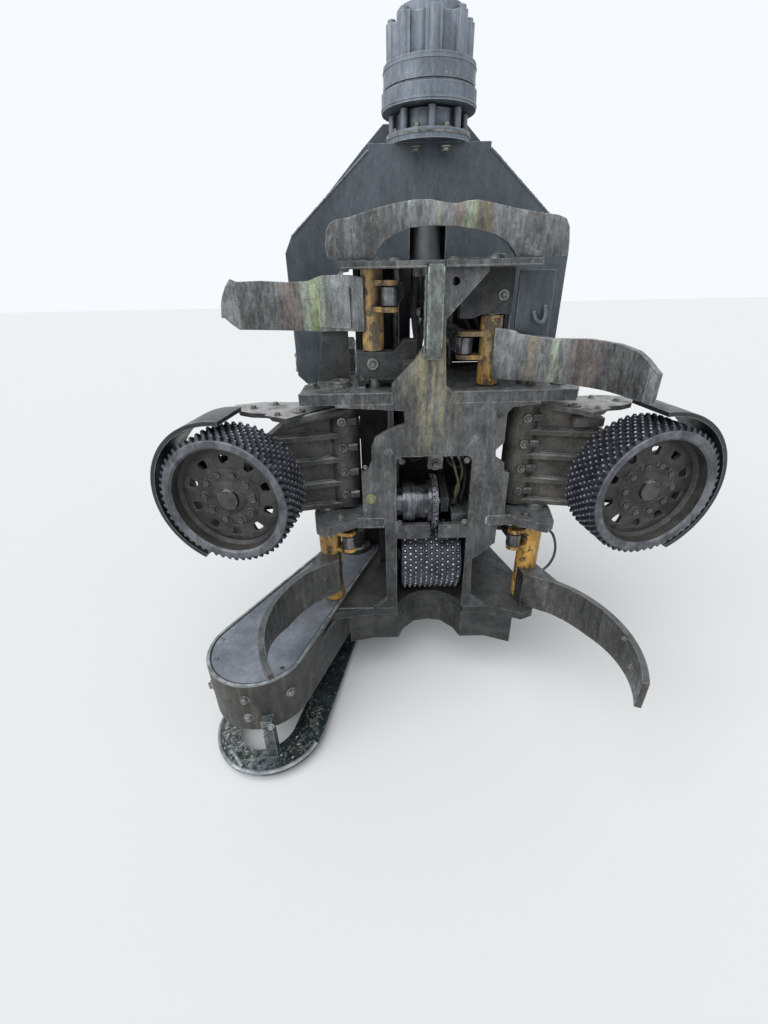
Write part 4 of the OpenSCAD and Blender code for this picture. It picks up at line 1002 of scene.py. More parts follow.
def block(bm, low, high, chamfer=3 * MM, at=None, finish=0):
    low, high = Vector(low), Vector(high)
    size = Matrix.Diagonal((*(high - low), 1))
    place = (at or Matrix.Identity(4)) @ Matrix.Translation((low + high) / 2) @ size
    made = bmesh.ops.create_cube(bm, size=1, matrix=place)["verts"]
    edges = list({edge for vert in made for edge in vert.link_edges})
    cut = bmesh.ops.bevel(bm, geom=edges, offset=chamfer, segments=2, profile=0.6, affect="EDGES")
    corners = [*cut["verts"], *(vert for vert in made if vert.is_valid)]
    for face in {face for vert in corners for face in vert.link_faces}:
        face.material_index = finish


print("hose and block tools ready")

# %% [markdown]
# ## The rotator's bolts
#
# The rotator is clamped by a castle of eight pillars, each with a deep screw in its top,
# and the rotor's flange is bolted through the crown of the tilt frame. These are round
# patterns, so a short list of angles gives every place.

# %% Screws on the rotator and nuts under the crown
PILLARS = 8
RIM_SCREWS = 24
CROWN_BOLTS = 8


def around(count, r, z, first=0.0):
    return [(r * math.cos(a), r * math.sin(a), z) for a in full_turn(count, first)]


bm = bmesh.new()
for place in around(PILLARS, 0.112, -0.104):
    socket_screw(bm, place, (0, 0, 1), 12 * MM, 11 * MM)
for place in around(RIM_SCREWS, 0.1345, -0.2455):
    socket_screw(bm, place, (place[0], place[1], 0), 4 * MM, 5.5 * MM)
for z, r in ((-0.256, 0.1330), (-0.297, 0.1450), (-0.212, 0.1390)):
    ring(bm, (0, 0, z), (0, 0, 1), r + 2 * MM, r - 4 * MM, 5 * MM)
keep(bm, "rotator_screws", "crane_link", [ROTATOR_FINISH])

bm = bmesh.new()
for z, up in ((-0.359, 1), (-0.403, -1)):
    for place in around(CROWN_BOLTS, 0.117, z, 0.5):
        hex_bolt(bm, place, (0, 0, up), 19 * MM)
ring(bm, (0, 0, -0.372), (0, 0, 1), 0.1345, 0.126, 6 * MM)
keep(bm, "crown_bolts", "tilt_body", [FITTING])
print("rotator screws:", PILLARS + RIM_SCREWS, "crown bolts:", 2 * CROWN_BOLTS)

# %% [markdown]
# ## Tilt frame trim
#
# The frame is a folded and welded box. Beads run along its slopes, hoses come down
# inside it, and each tilt pin ends in a head that three screws hold.

# %% Welds, pin screws and hoses of the tilt frame
bm = bmesh.new()
for side in (-1, 1):
    head = Vector((side * 0.490, 0.030, -1.040))
    out = (side, 0, 0)
    ring(bm, head, out, 42 * MM, 22 * MM, 3 * MM)
    for a in full_turn(3):
        hex_bolt(bm, head + Vector((0, 32 * MM * math.cos(a), 32 * MM * math.sin(a))), out, 14 * MM)
keep(bm, "tilt_pin_screws", "tilt_body", [PIN_STEEL])

bm = bmesh.new()
for side in (-1, 1):
    weld(bm, (side * 0.190, -0.0695, -0.402), (side * 0.452, -0.0695, -0.625), 4 * MM)
keep(bm, "tilt_frame_welds", "tilt_body", [FRAME_FINISH])

bm = bmesh.new()
for x, y in ((-0.20, 0.03), (-0.165, 0.07), (-0.135, 0.02), (0.135, 0.05), (0.17, 0.02), (0.205, 0.06)):
    hose(bm, [(x * 0.8, y, -0.405), (x * 0.95, y + 0.01, -0.48), (x, y, -0.58), (x * 1.04, y - 0.01, -0.68)],
         11 * MM)
for near, far in ((-0.225, -0.125), (0.125, 0.225)):
    block(bm, (near, 0, -0.705), (far, 0.095, -0.68), 3 * MM, finish=1)
keep(bm, "tilt_frame_hoses", "tilt_body", [HOSE_RUBBER, FITTING])
print("tilt frame trimmed")

# %% [markdown]
# ## Welds, bolts and pin caps of the head frame
#
# The spine is welded to the front plate on both sides, and so are the shelf and the
# uprights. The knives' pins end in caps on the wing and the shelf, and the caps on the
# wing are each held by a small lock bolt. A pale rubbed bead catches the light, which is
# why welds matter so much.

# %% Weld beads of the head frame
PLATE_Y = -0.520
WING_SEAM = -1.0385
SHELF_SEAM = -0.7205

bm = bmesh.new()
for start, end in ((-0.045, -0.26), (0.006, 0.24)):
    weld(bm, (start, -0.545, -0.7195), (end, -0.545, -0.7195), 3 * MM)
for side in (-1, 1):
    weld(bm, (side * 0.227, -0.290, SHELF_SEAM), (side * 0.227, -0.036, SHELF_SEAM), 4 * MM)
    weld(bm, (side * 0.244, -0.290, WING_SEAM), (side * 0.244, -0.036, WING_SEAM), 4 * MM)
    weld(bm, (side * 0.256, -0.214, WING_SEAM), (side * 0.300, -0.214, WING_SEAM), 4 * MM)
for start, end in ((-0.134, -0.404), (0.045, 0.402)):
    weld(bm, (start, -0.5195, WING_SEAM), (end, -0.5195, WING_SEAM), 3 * MM)
for x0, z0, x1, z1 in ((-0.165, -1.4485, -0.255, -1.4485), (0.180, -1.4485, 0.255, -1.4485),
                       (-0.165, -1.4815, -0.255, -1.4815), (0.180, -1.4815, 0.230, -1.4815),
                       (-0.205, -1.8305, -0.205, -1.8185), (-0.370, -1.8305, -0.210, -1.8305)):
    weld(bm, (x0, PLATE_Y - 0.001, z0), (x1, PLATE_Y - 0.001, z1), 3.5 * MM)
weld(bm, (-0.366, -0.3615, WING_SEAM), (-0.262, -0.3615, WING_SEAM), 3.5 * MM)
weld(bm, (-0.236, -0.4475, WING_SEAM), (-0.212, -0.4475, WING_SEAM), 4 * MM)
weld(bm, (0.062, -0.4475, SHELF_SEAM), (0.206, -0.4475, SHELF_SEAM), 4 * MM)
keep(bm, "frame_welds", "head", [WORN_STEEL])
print("weld beads laid")

# %% Bolts, caps and rings of the head frame
CAP_BRIGHT = make_bright("cap_steel", (0.045, 0.045, 0.043), (0.21, 0.215, 0.20), 0.28, 0.5, 0.4)
LICHEN_BOLT = make_bright("lichen_bolt", (0.10, 0.11, 0.04), (0.24, 0.25, 0.12), 0.5, 0.7, 0.1)


def pin_cap(bm, place, r, high=7 * MM):
    profile = [(0, 0), (r, 0), (r, high * 0.55), (r * 0.86, high), (r * 0.34, high), (r * 0.3, high * 0.5),
               (0, high * 0.5)]
    spin(bm, frame_at(place, (0, 0, 1)), profile, 32)


bm = bmesh.new()
for x in (-0.290, 0.290):
    pin_cap(bm, (x, -0.400, -1.0325), 31 * MM, 10 * MM)
    block(bm, (x - 0.012, -0.452, -1.0405), (x + 0.012, -0.424, -1.028), 2 * MM)
    hex_bolt(bm, (x, -0.444, -1.028), (0, 0, 1), 13 * MM, 0)
for x in (-0.374, 0.374):
    hex_bolt(bm, (x, -0.429, -1.040), (0, 0, 1), 24 * MM, 1.6)
for x, y in ((-0.185, -0.420), (0.158, -0.420), (-0.110, -0.090), (0.086, -0.090)):
    pin_cap(bm, (x, y, -0.6975), 21 * MM, 6 * MM)
for x in (-0.358, 0.355):
    pin_cap(bm, (x, -0.450, -1.4425), 27 * MM, 8 * MM)
    hex_bolt(bm, (x * 0.86, -0.515, -1.450), (0, 0, 1), 18 * MM)
keep(bm, "pin_caps", "head", [CAP_BRIGHT])

bm = bmesh.new()
for x, y, z, r in ((-0.188, -0.446, -0.969, 17), (0.179, -0.446, -0.792, 15), (0.082, -0.446, -0.778, 8),
                   (-0.082, -0.446, -0.985, 8), (-0.222, -0.446, -1.010, 7), (0.184, -0.520, -1.108, 9),
                   (-0.220, -0.520, -1.265, 7)):
    ring(bm, (x, y + 0.0005, z), (0, -1, 0), r * MM, r * 0.52 * MM, 4.5 * MM)
    hex_bolt(bm, (x, y, z), (0, -1, 0), r * 0.85 * MM, 0)
for x, z in ((-0.105, -1.250), (0.097, -1.250), (-0.112, -1.468), (0.103, -1.468)):
    hex_bolt(bm, (x, -0.5195, z), (0, -1, 0), 11 * MM, 1.5)
keep(bm, "plate_bolts", "head", [CAP_BRIGHT])

print("caps and bolts on the head frame ready")

# %% The chipped spine and its welds
SPINE_X = (-0.041, 0.000)
SPINE_TOP = -0.714
SPINE_LOW = -0.943
SPINE_DEEP = 39.5 * MM
SPINE_STEPS = 40

bm = bmesh.new()
ridge = []
for i in range(SPINE_STEPS + 1):
    t = i / SPINE_STEPS
    z = SPINE_LOW + (SPINE_TOP - SPINE_LOW) * t
    chip = 2.2 * MM * math.sin(23 * t) * math.sin(61 * t + 1)
    front = PLATE_Y - SPINE_DEEP + max(0, 1 - 9 * t) * 14 * MM
    ridge.append([bm.verts.new((x, y, z)) for x, y in (
        (SPINE_X[0], PLATE_Y), (SPINE_X[0] + chip, front + 4 * MM), (SPINE_X[0] + 5 * MM + chip, front),
        (SPINE_X[1] - 5 * MM - chip, front), (SPINE_X[1] - chip, front + 4 * MM), (SPINE_X[1], PLATE_Y))])
loft(bm, ridge)
bmesh.ops.recalc_face_normals(bm, faces=bm.faces)
spine = keep(bm, "spine", "head", [SPINE_STEEL])
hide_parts("spine_bar")

RAGGED_EDGE = make_bright("ragged_edge", (0.10, 0.105, 0.10), (0.50, 0.54, 0.52), 0.3, 0.5, 0.3)
bm = bmesh.new()
for x, inward in zip(SPINE_X, (1, -1)):
    weld(bm, (x, PLATE_Y - 1 * MM, SPINE_LOW + 0.004), (x, PLATE_Y - 1 * MM, SPINE_TOP - 0.004), 6 * MM)
    weld(bm, (x + inward * 0.002, PLATE_Y - SPINE_DEEP + 0.004, SPINE_LOW + 0.030),
         (x + inward * 0.002, PLATE_Y - SPINE_DEEP + 0.004, SPINE_TOP - 0.006), 2.8 * MM, 1)
keep(bm, "spine_welds", "head", [SPINE_STEEL, RAGGED_EDGE])

print("spine steps:", SPINE_STEPS)

# %% Hook plate, cover plates and hoses of the frame
HOOK_PLATE = (0.215, 0.311)
COVER_BACK = -0.036

bm = bmesh.new()
block(bm, (HOOK_PLATE[0], -0.462, -0.900), (HOOK_PLATE[1], -0.450, -0.732), 2 * MM)
tube(bm, smooth_path([(0.262, -0.466, -0.835), (0.268, -0.476, -0.855), (0.284, -0.478, -0.862),
                      (0.292, -0.474, -0.845), (0.292, -0.464, -0.820)], 6), 6 * MM, 10)
block(bm, (-0.262, -0.525, -0.729), (-0.243, -0.462, -0.708), 5 * MM)
keep(bm, "hook_plate", "head", [FRAME_FINISH])

# The black plates between the uprights stand for rear covers and paint the deep shade seen through the frame.
bm = bmesh.new()
for side in (-1, 1):
    near, far = sorted((side * 0.054, side * 0.228))
    block(bm, (near, COVER_BACK - 9 * MM, -1.040), (far, COVER_BACK, -0.720), 2 * MM)
    near, far = sorted((side * 0.165, side * 0.296))
    block(bm, (near, -0.100, -1.8325), (far, -0.091, -1.4795), 2 * MM)
keep(bm, "back_covers_and_painted_shade", "head", [BLACK_PAINT])

bm = bmesh.new()
block(bm, (-0.090, 0.128, -0.900), (0.090, 0.136, -0.430), 2 * MM)
block(bm, (-0.090, 0.1345, -0.470), (0.090, 0.1675, -0.430), 2 * MM)
keep(bm, "ram_cover", "tilt_body", [BLACK_PAINT])

bm = bmesh.new()
for side, x in ((-1, -0.205), (-1, -0.176), (1, 0.150), (1, 0.188)):
    sway = side * 0.018
    hose(bm, smooth_path([(x, -0.075, -1.020), (x + sway, -0.120, -0.960), (x - sway, -0.100, -0.860),
                          (x + 0.5 * sway, -0.085, -0.770), (x, -0.068, -0.735)], 10), 11 * MM)
keep(bm, "window_hoses", "head", [HOSE_RUBBER, FITTING])

bm = bmesh.new()
hex_bolt(bm, (-0.205, PLATE_Y, -1.377), (0, -1, 0), 20 * MM, 1.5)
keep(bm, "lichen_bolts", "head", [LICHEN_BOLT])
print("plates and covers of the frame ready")

# %% [markdown]
# ## Inside the window
#
# Through the window in the front plate one sees a bracket with bolts, the stepped
# measuring wheel, a short toothed chain over it and old hoses that run down to it. Its
# depth comes from many small dark things with a few bright edges, so that is what is
# made here, all clear of the wheel.

# %% Bracket, hoses and valves in the window
BRACKET_LOW = -1.262

bm = bmesh.new()
block(bm, (-0.115, -0.455, BRACKET_LOW), (0.108, -0.437, -1.236), 3 * MM, finish=1)
block(bm, (-0.020, -0.470, -1.300), (0.030, -0.440, -1.236), 5 * MM, finish=1)
for x, y, z, across in ((0.005, -0.4705, -1.282, 22), (-0.092, -0.4555, -1.249, 13),
                        (0.086, -0.4555, -1.249, 13)):
    hex_bolt(bm, (x, y, z), (0, -1, 0), across * MM, 1.5, 1)
for points, r, kind in (
        ([(0.085, -0.440, BRACKET_LOW), (0.098, -0.452, -1.320), (0.080, -0.448, -1.390),
          (0.092, -0.430, -1.462)], 6, 2),
        ([(0.060, -0.440, BRACKET_LOW), (0.074, -0.462, -1.310), (0.088, -0.460, -1.370),
          (0.074, -0.436, -1.440)], 5, 2),
        ([(0.100, -0.425, BRACKET_LOW), (0.112, -0.435, -1.340), (0.104, -0.432, -1.420),
          (0.108, -0.410, -1.480)], 7, 0),
        ([(0.040, -0.430, BRACKET_LOW), (0.062, -0.446, -1.295), (0.100, -0.440, -1.300),
          (0.118, -0.420, BRACKET_LOW)], 5, 0),
        ([(-0.108, -0.420, BRACKET_LOW), (-0.118, -0.430, -1.310), (-0.116, -0.425, -1.380),
          (-0.112, -0.400, -1.450)], 8, 0),
        ([(-0.085, -0.400, BRACKET_LOW), (-0.060, -0.385, -1.300), (-0.020, -0.375, -1.280),
          (0.010, -0.380, -1.235)], 8, 0)):
    hose(bm, points, r * MM, kind)
for x in (-0.075, -0.025, 0.025, 0.075):
    spin(bm, frame_at((x, -0.4195, -1.15), (0, -1, 0)),
         [(0, 0), (19 * MM, 0), (19 * MM, 12 * MM), (15 * MM, 15 * MM), (15 * MM, 34 * MM),
          (12 * MM, 36 * MM), (0, 36 * MM)], 20, 1)
keep(bm, "window_bracket", "head", [HOSE_RUBBER, FITTING, OLD_HOSE])
print("window filled")

# %% Toothed chain ring beside the measuring wheel
CHAIN_LINKS = 26
CHAIN_R = 86 * MM
CHAIN_MIDDLE = (-0.440, -1.430)

bm = bmesh.new()
for a in full_turn(CHAIN_LINKS):
    y, z = CHAIN_MIDDLE[0] + CHAIN_R * math.cos(a), CHAIN_MIDDLE[1] + CHAIN_R * math.sin(a)
    out = Vector((0, math.cos(a), math.sin(a)))
    at = frame_at((0.007, y, z), out)
    block(bm, (-0.008, -0.007, -0.003), (0.008, 0.007, 0.003), 1 * MM, at)
    stud(bm, at @ Matrix.Translation((0, 0, 0.002)), 8 * MM, 2 * MM, 6 * MM)
spin(bm, frame_at((-0.001, *CHAIN_MIDDLE), (1, 0, 0)),
     [(16 * MM, 0), (85 * MM, 0), (85 * MM, 16 * MM), (76 * MM, 16 * MM), (60 * MM, 10 * MM),
      (16 * MM, 12 * MM)], 48, 0, True)
keep(bm, "wheel_chain", "measuring_wheel_body", [WHEEL_STEEL, STUD_TIP])
print("chain links:", CHAIN_LINKS)

# %% [markdown]
# ## Hoses and fittings behind the plates
#
# Every ram and motor is fed by oil, and the hoses fill the dark gaps of the real head.
# The ones here each stay on one body: from the wing plate up to the shelf, from the wing
# down to the hood, and from each arm's web to the back of its motor.

# %% Hoses inside the frame and on the saw motor
bm = bmesh.new()
for x, y, lean in ((-0.056, -0.375, 0.006), (-0.034, -0.350, -0.008), (-0.008, -0.368, 0.010),
                   (0.020, -0.345, -0.006)):
    hose(bm, [(x, y, -1.039), (x + lean, y + 0.02, -0.95), (x - lean, y + 0.03, -0.84),
              (x, y + 0.01, -0.7205)], 9 * MM)
for x in (-0.125, -0.082, -0.030, 0.035, 0.078, 0.120):
    hose(bm, [(x, -0.088, -1.071), (x * 1.06, -0.080, -1.11), (x * 0.9, -0.105, -1.16),
              (x * 0.82, -0.135, -1.1995)], 9 * MM)
for shift in (0, 0.045):
    hose(bm, [(-0.345, -0.085 - shift, -1.70), (-0.378, -0.060 - shift, -1.62),
              (-0.345, -0.070 - shift, -1.53), (-0.292, -0.105 - shift, -1.482)], 9 * MM)
for a in full_turn(4, 0.5):
    hex_bolt(bm, (-0.300 + 0.060 * math.cos(a), -0.110 + 0.060 * math.sin(a), -1.798), (0, 0, 1), 15 * MM,
             1.4, 1)
for x in (-0.125, 0.125):
    for z in (-1.285, -1.365):
        hex_bolt(bm, (x, -0.0455, z), (0, 1, 0), 16 * MM, 1.5, 1)
keep(bm, "frame_hoses", "head", [HOSE_RUBBER, FITTING])
print("hoses of the frame ready")

# %% Bushings, bolts, welds and hoses of the feed arms
ARM_PIN = Vector((0.290, -0.400, 0))
ARM_END = Vector((0.605, -0.482, 0))
ARM_TOP = -1.0955
ARM_FRONT = -0.4515
RIBS = (-1.187, -1.269, -1.352, -1.431)


def make_arm_trim(name, sign):
    def here(x, y, z):
        return (sign * x, y, z)

    along = (ARM_END - ARM_PIN).normalized()
    across = Vector((-along.y, along.x, 0))
    bm = bmesh.new()
    ring(bm, here(0.290, -0.400, -1.0925), (0, 0, 1), 47 * MM, 23 * MM, 19 * MM, 1)
    ring(bm, here(0.413, -0.490, ARM_TOP), (0, 0, 1), 19 * MM, 8 * MM, 7 * MM, 1)
    hex_bolt(bm, here(0.413, -0.490, ARM_TOP), (0, 0, 1), 15 * MM, 0, 1)
    for x, y in ((0.352, -0.372), (0.500, -0.400), (0.560, -0.440), (0.470, -0.520)):
        hex_bolt(bm, here(x, y, ARM_TOP), (0, 0, 1), 14 * MM, 1.5, 1)
    for z in (-1.140, -1.225, -1.310, -1.392):
        ring(bm, here(0.290, ARM_FRONT, z), (0, -1, 0), 15 * MM, 7 * MM, 5 * MM, 1)
        hex_bolt(bm, here(0.290, ARM_FRONT, z), (0, -1, 0), 12 * MM, 0, 1)
        low = Vector(here(0.290 + sign * 0.016, -0.458, z - 0.009))
        block(bm, low, low + Vector((0.030, 0.020, 0.018)), 2 * MM)
    for z in RIBS:
        for v in (-0.0235, 0.0235):
            for edge in (-0.0065, 0.0085):
                start = ARM_PIN + along * 0.052 + across * v
                end = ARM_PIN + along * 0.215 + across * v
                weld(bm, here(start.x, start.y, z + edge), here(end.x, end.y, z + edge), 3 * MM)
    keep(bm, f"arm_bolts_{name}", f"arm_{name}", [CASTING, FITTING])

    bm = bmesh.new()
    for z, drop in ((-1.14, 0.145), (-1.24, 0.105)):
        hose(bm, [here(0.400, -0.402, z), here(0.430, -0.360, z - 0.02), here(0.530, -0.350, z - 0.08),
                  here(0.588, -0.398, z - drop)], 9 * MM)
    back = Vector(here(0.588, -0.4150, -1.315))
    out = Vector((-sign * 0.1736, 0.9848, 0))
    at = frame_at(back, out)
    for x, y, _ in around(6, 0.047, 0):
        hex_bolt(bm, at @ Vector((x, y, 0)), out, 13 * MM, 1.5, 1)
    ring(bm, back, out, 34 * MM, 20 * MM, 6 * MM, 1)
    keep(bm, f"arm_hoses_{name}", f"arm_{name}", [HOSE_RUBBER, FITTING])


make_arm_trim("right", 1)
bm = bmesh.new()
block(bm, (0.420, -0.500, -1.158), (0.510, -0.462, -1.130), 4 * MM)
keep(bm, "arm_block_right", "arm_right", [PALE_CASTING])
bm = bmesh.new()
tube(bm, smooth_path([(-0.452, -0.508, -1.128), (-0.400, -0.506, -1.116), (-0.345, -0.492, -1.108),
                      (-0.300, -0.468, -1.104), (-0.268, -0.448, -1.102)], 6), 15 * MM, 12)
keep(bm, "arm_beam_left", "arm_left", [CASTING])
make_arm_trim("left", -1)
print("both feed arms trimmed")

# %% [markdown]
# ## The saw unit
#
# The saw's lid has a pale rim with a dark gap inside it, because the lid is let into the
# box. Wet wood chips cling to the guard below. The rim follows the same outline as the
# box: two circles and the two lines that touch both.

# %% Lid rim, gap and bolts of the saw box
NOSE = Vector((-0.590, -0.715))
NOSE_R = 0.165
SAW_PIVOT = Vector((-0.300, -0.110))
TAIL_R = 0.110
LID_TOP = -1.820
SCREW_INSET = 0.030


def tear_outline(a, ra, b, rb, steps=40):
    run = b - a
    line = math.atan2(run.y, run.x)
    turn = math.acos((ra - rb) / run.length)
    made = []
    for middle, r, start, end in ((a, ra, line + turn, line + 2 * math.pi - turn),
                                  (b, rb, line - turn, line + turn)):
        for i in range(steps + 1):
            angle = start + (end - start) * i / steps
            made.append((middle.x + r * math.cos(angle), middle.y + r * math.sin(angle)))
    return made


LID_RIM_STEEL = make_bright("lid_rim_steel", (0.16, 0.17, 0.18), (0.42, 0.45, 0.47), 0.35, 0.55, 0.4)
GAP_BLACK = make_bright("gap_black", (0.004, 0.004, 0.004), (0.015, 0.015, 0.014), 0.5, 0.7, 0.0)


def lid_band(name, inset, wide, high, finish):
    outer = tear_outline(NOSE, NOSE_R - inset, SAW_PIVOT, TAIL_R - inset)
    inner = tear_outline(NOSE, NOSE_R - inset - wide, SAW_PIVOT, TAIL_R - inset - wide)
    at = Matrix.Translation((0, 0, LID_TOP + high / 2))
    flat_plate(name, [outer, inner[::-1]], high, min(0.8 * MM, high * 0.3), at, "head", [finish])


lid_band("saw_lid_rim", 2 * MM, 9 * MM, 3 * MM, LID_RIM_STEEL)
lid_band("saw_lid_gap", 11.2 * MM, 4 * MM, 0.8 * MM, GAP_BLACK)

bm = bmesh.new()
for degrees, z in ((-94, -1.874), (-94, -1.955), (-150, -1.90), (-45, -1.90), (176, -1.96)):
    a = math.radians(degrees)
    out = Vector((math.cos(a), math.sin(a), 0))
    hex_bolt(bm, Vector((NOSE.x, NOSE.y, z)) + out * (NOSE_R - 0.0005), out, 19 * MM, 1.5)
screw_line = tear_outline(NOSE, NOSE_R - SCREW_INSET, SAW_PIVOT, TAIL_R - SCREW_INSET)
for spot in map(Vector, screw_line[3:80:8]):
    if spot.y > -0.83 and (spot - Vector((-0.358, -0.45))).length > 0.075:
        socket_screw(bm, (spot.x, spot.y, LID_TOP - 0.5 * MM), (0, 0, 1), 7 * MM, 4 * MM)
keep(bm, "saw_box_bolts", "head", [PIN_STEEL])
print("saw box rim and bolts ready")

# %% Folded edge and hook of the guard
GUARD_NOSE = Vector((-0.572, -0.769))
GUARD_R = 0.188
GUARD_TAIL_R = 0.054
GUARD_TOP = -2.128
RIM_POINTS = 38
CHIP_DARK = make_casting("wet_chips", (0.020, 0.030, 0.022), (0.060, 0.085, 0.060), (0.12, 0.14, 0.11), 0.5)
CHIP_PALE = make_casting("pale_chips", (0.20, 0.20, 0.17), (0.42, 0.42, 0.38), (0.5, 0.5, 0.46), 0.5)

bm = bmesh.new()
rim_line = tear_outline(GUARD_NOSE, GUARD_R - 6 * MM, SAW_PIVOT, GUARD_TAIL_R)[:RIM_POINTS]
rim = [Vector((x, y, GUARD_TOP - 1 * MM)) for x, y in rim_line]
tube(bm, rim, 6.5 * MM, 10, 0, 0.06)
hook = [(-0.640, -0.930, -2.126), (-0.655, -0.915, -2.112), (-0.668, -0.900, -2.106),
        (-0.684, -0.886, -2.116)]
tube(bm, smooth_path(hook), 6 * MM, 10)
for dx in (-0.014, 0.014):
    hex_bolt(bm, (-0.545 + dx, -0.9005, -1.985 + dx), (0, -1, 0), 15 * MM, 1.4)
keep(bm, "guard_edge", "head", [LID_RIM_STEEL])
print("points on the guard's rim:", RIM_POINTS)

# %% Wet chips on the guard
CHIP_COUNT = 420
CHIP_BAND = (0.112, 0.174)

bm = bmesh.new()
chips = 0
while chips < CHIP_COUNT:
    angle = rng.uniform(0, 2 * math.pi)
    r = rng.uniform(*CHIP_BAND)
    x, y = GUARD_NOSE.x + r * math.cos(angle), GUARD_NOSE.y + r * math.sin(angle)
    if -0.60 < x < -0.52 and y < -0.86:
        continue
    axis = Vector((rng.uniform(-0.3, 0.3), rng.uniform(-0.3, 0.3), 1))
    at = frame_at((x, y, GUARD_TOP + 1.5 * MM), axis, (math.cos(angle * 7), math.sin(angle * 7), 0.1))
    long, wide = rng.uniform(4, 13) * MM, rng.uniform(2, 6) * MM
    corners = [bm.verts.new(at @ Vector((sx * long / 2, sy * wide / 2, sz * MM)))
               for sx, sy in SQUARE for sz in (-1, 1)]
    low, high = corners[0::2], corners[1::2]
    shade = 1 if (x < GUARD_NOSE.x - 0.04 and rng.random() < 0.5) or rng.random() < 0.12 else 0
    bm.faces.new(low[::-1]).material_index = shade
    bm.faces.new(high).material_index = shade
    band(bm, low, high, shade)
    chips += 1
keep(bm, "guard_chips", "head", [CHIP_DARK, CHIP_PALE])
print("chips on the guard:", chips)

# %% [markdown]
# ## The front knives and their details
#
# The top knife and both upper knives are bent plates, drawn with the outlines that the
# photograph shows, and they stand in for the plainer solids. The upper left knife has a
# doubler welded on its front near the hub, which shows as a step in the light. The
# blades are welded to their hubs, and a grease pipe loops over the lower right hub down
# to its bearing. These pieces ride on the knives' bodies, the top knife on the head.

# %% Bent plates and the three front knives
def curved_plate(bm, middle, r, thick, start, end, low, high, steps=16):
    rows = []
    for i in range(steps + 1):
        a = math.radians(start + (end - start) * i / steps)
        out = Vector((math.cos(a), math.sin(a)))
        near, far = middle + out * (r - thick), middle + out * r
        rows.append([bm.verts.new((*near, low)), bm.verts.new((*near, high)), bm.verts.new((*far, high)),
                     bm.verts.new((*far, low))])
    loft(bm, rows)
    bmesh.ops.recalc_face_normals(bm, faces=bm.faces)


# A bent plate is a row of columns: the angle or place along it, its lower and upper edge.
# Its front face lies on a cylinder, its ends and edges are ground a little thinner.
def edge_height(points, at):
    for (a, low), (b, high) in zip(points, points[1:]):
        if a <= at <= b:
            t = (at - a) / (b - a)
            return low + (high - low) * t
    return points[0][1] if at < points[0][0] else points[-1][1]


def bent_plate(name, body, top, bottom, place, thick, finishes, node, steps=120, ground=2.5 * MM, highlight_facet=None):
    start, end = max(top[0][0], bottom[0][0]), min(top[-1][0], bottom[-1][0])
    bm = bmesh.new()
    rows = []
    for i in range(steps + 1):
        u = start + (end - start) * i / steps
        high = edge_height(top, u) * MM
        low = min(edge_height(bottom, u) * MM, high - 2 * MM)
        cut = min(ground, 0.3 * (high - low))
        ends = min(1.0, min(i, steps - i) / 2.0)
        row = []
        for z, depth in ((low, 0.5), (low + cut, 0.0), (high - cut, 0.0), (high, 0.5)):
            row.append(bm.verts.new(place(u, z, depth * ground + (1 - ends) * ground * 0.5)))
        for z in (high, low):
            row.append(bm.verts.new(place(u, z, thick)))
        rows.append(row)
    for i, (a, b) in enumerate(zip(rows, rows[1:])):
        u = start + (end - start) * (i + 0.5) / steps
        for k in range(6):
            j = (k + 1) % 6
            face = bm.faces.new([a[k], a[j], b[j], b[k]])
            # Along the given span the front face takes the second finish, a painted highlight.
            face.material_index = 1 if highlight_facet and k == 1 and highlight_facet(u) else 0
    bm.faces.new(rows[0][::-1])
    bm.faces.new(rows[-1])
    bmesh.ops.recalc_face_normals(bm, faces=bm.faces)
    piece = keep(bm, name, body, finishes)
    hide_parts(node)


LEFT_BLADE_MIDDLE = Vector((-0.4703, -0.7374))
RIGHT_BLADE_MIDDLE = Vector((0.0616, -0.8358))
BLADE_SKIN = 386 * MM
BLADE_THICK = 13.5 * MM
TOP_KNIFE_MIDDLE = Vector((0, -1.687))
TOP_KNIFE_SKIN = 1178 * MM
TOP_KNIFE_THICK = 21 * MM


def on_blade(middle):
    def place(angle, z, back):
        a = math.radians(angle)
        out = Vector((math.cos(a), math.sin(a)))
        return (*(middle + out * (BLADE_SKIN + back)), z)
    return place


def on_top_knife(x, z, back):
    x = x * MM
    y = TOP_KNIFE_MIDDLE.y + math.sqrt((TOP_KNIFE_SKIN + back) ** 2 - x ** 2)
    return (x, y, z)


bent_plate("upper_left_knife", "upper_left_knife_body",
           [(47.7, -741), (54, -737), (60.3, -735), (68.9, -737), (74.8, -750), (84.3, -752), (95.7, -747),
            (105.7, -748), (108.2, -740), (110.5, -760), (112.6, -790), (113.6, -815), (113.9, -840)],
           [(47.7, -879), (60, -882), (71.1, -885), (85.3, -883), (97, -880), (107.3, -876), (110.5, -858),
            (112.7, -842), (113.9, -841)],
           on_blade(LEFT_BLADE_MIDDLE), BLADE_THICK, [UPPER_LEFT_KNIFE, TIP_HIGHLIGHT_STEEL], "upper_left_blade",
           highlight_facet=lambda a: a > 106.2)
bent_plate("upper_right_knife", "upper_right_knife_body",
           [(4.4, -938), (7.4, -929), (11.5, -914), (15.9, -902), (24.3, -893), (36.9, -890), (51.2, -897),
            (59.7, -893), (65.2, -889), (67.3, -881), (75.2, -875)],
           [(4.4, -1005), (13.4, -1010), (26.3, -1008), (45.9, -1011), (56, -1014), (64.7, -1016),
            (75.2, -1016)],
           on_blade(RIGHT_BLADE_MIDDLE), BLADE_THICK, [UPPER_RIGHT_KNIFE, TIP_HIGHLIGHT_STEEL], "upper_right_blade",
           highlight_facet=lambda a: a < 8.5)
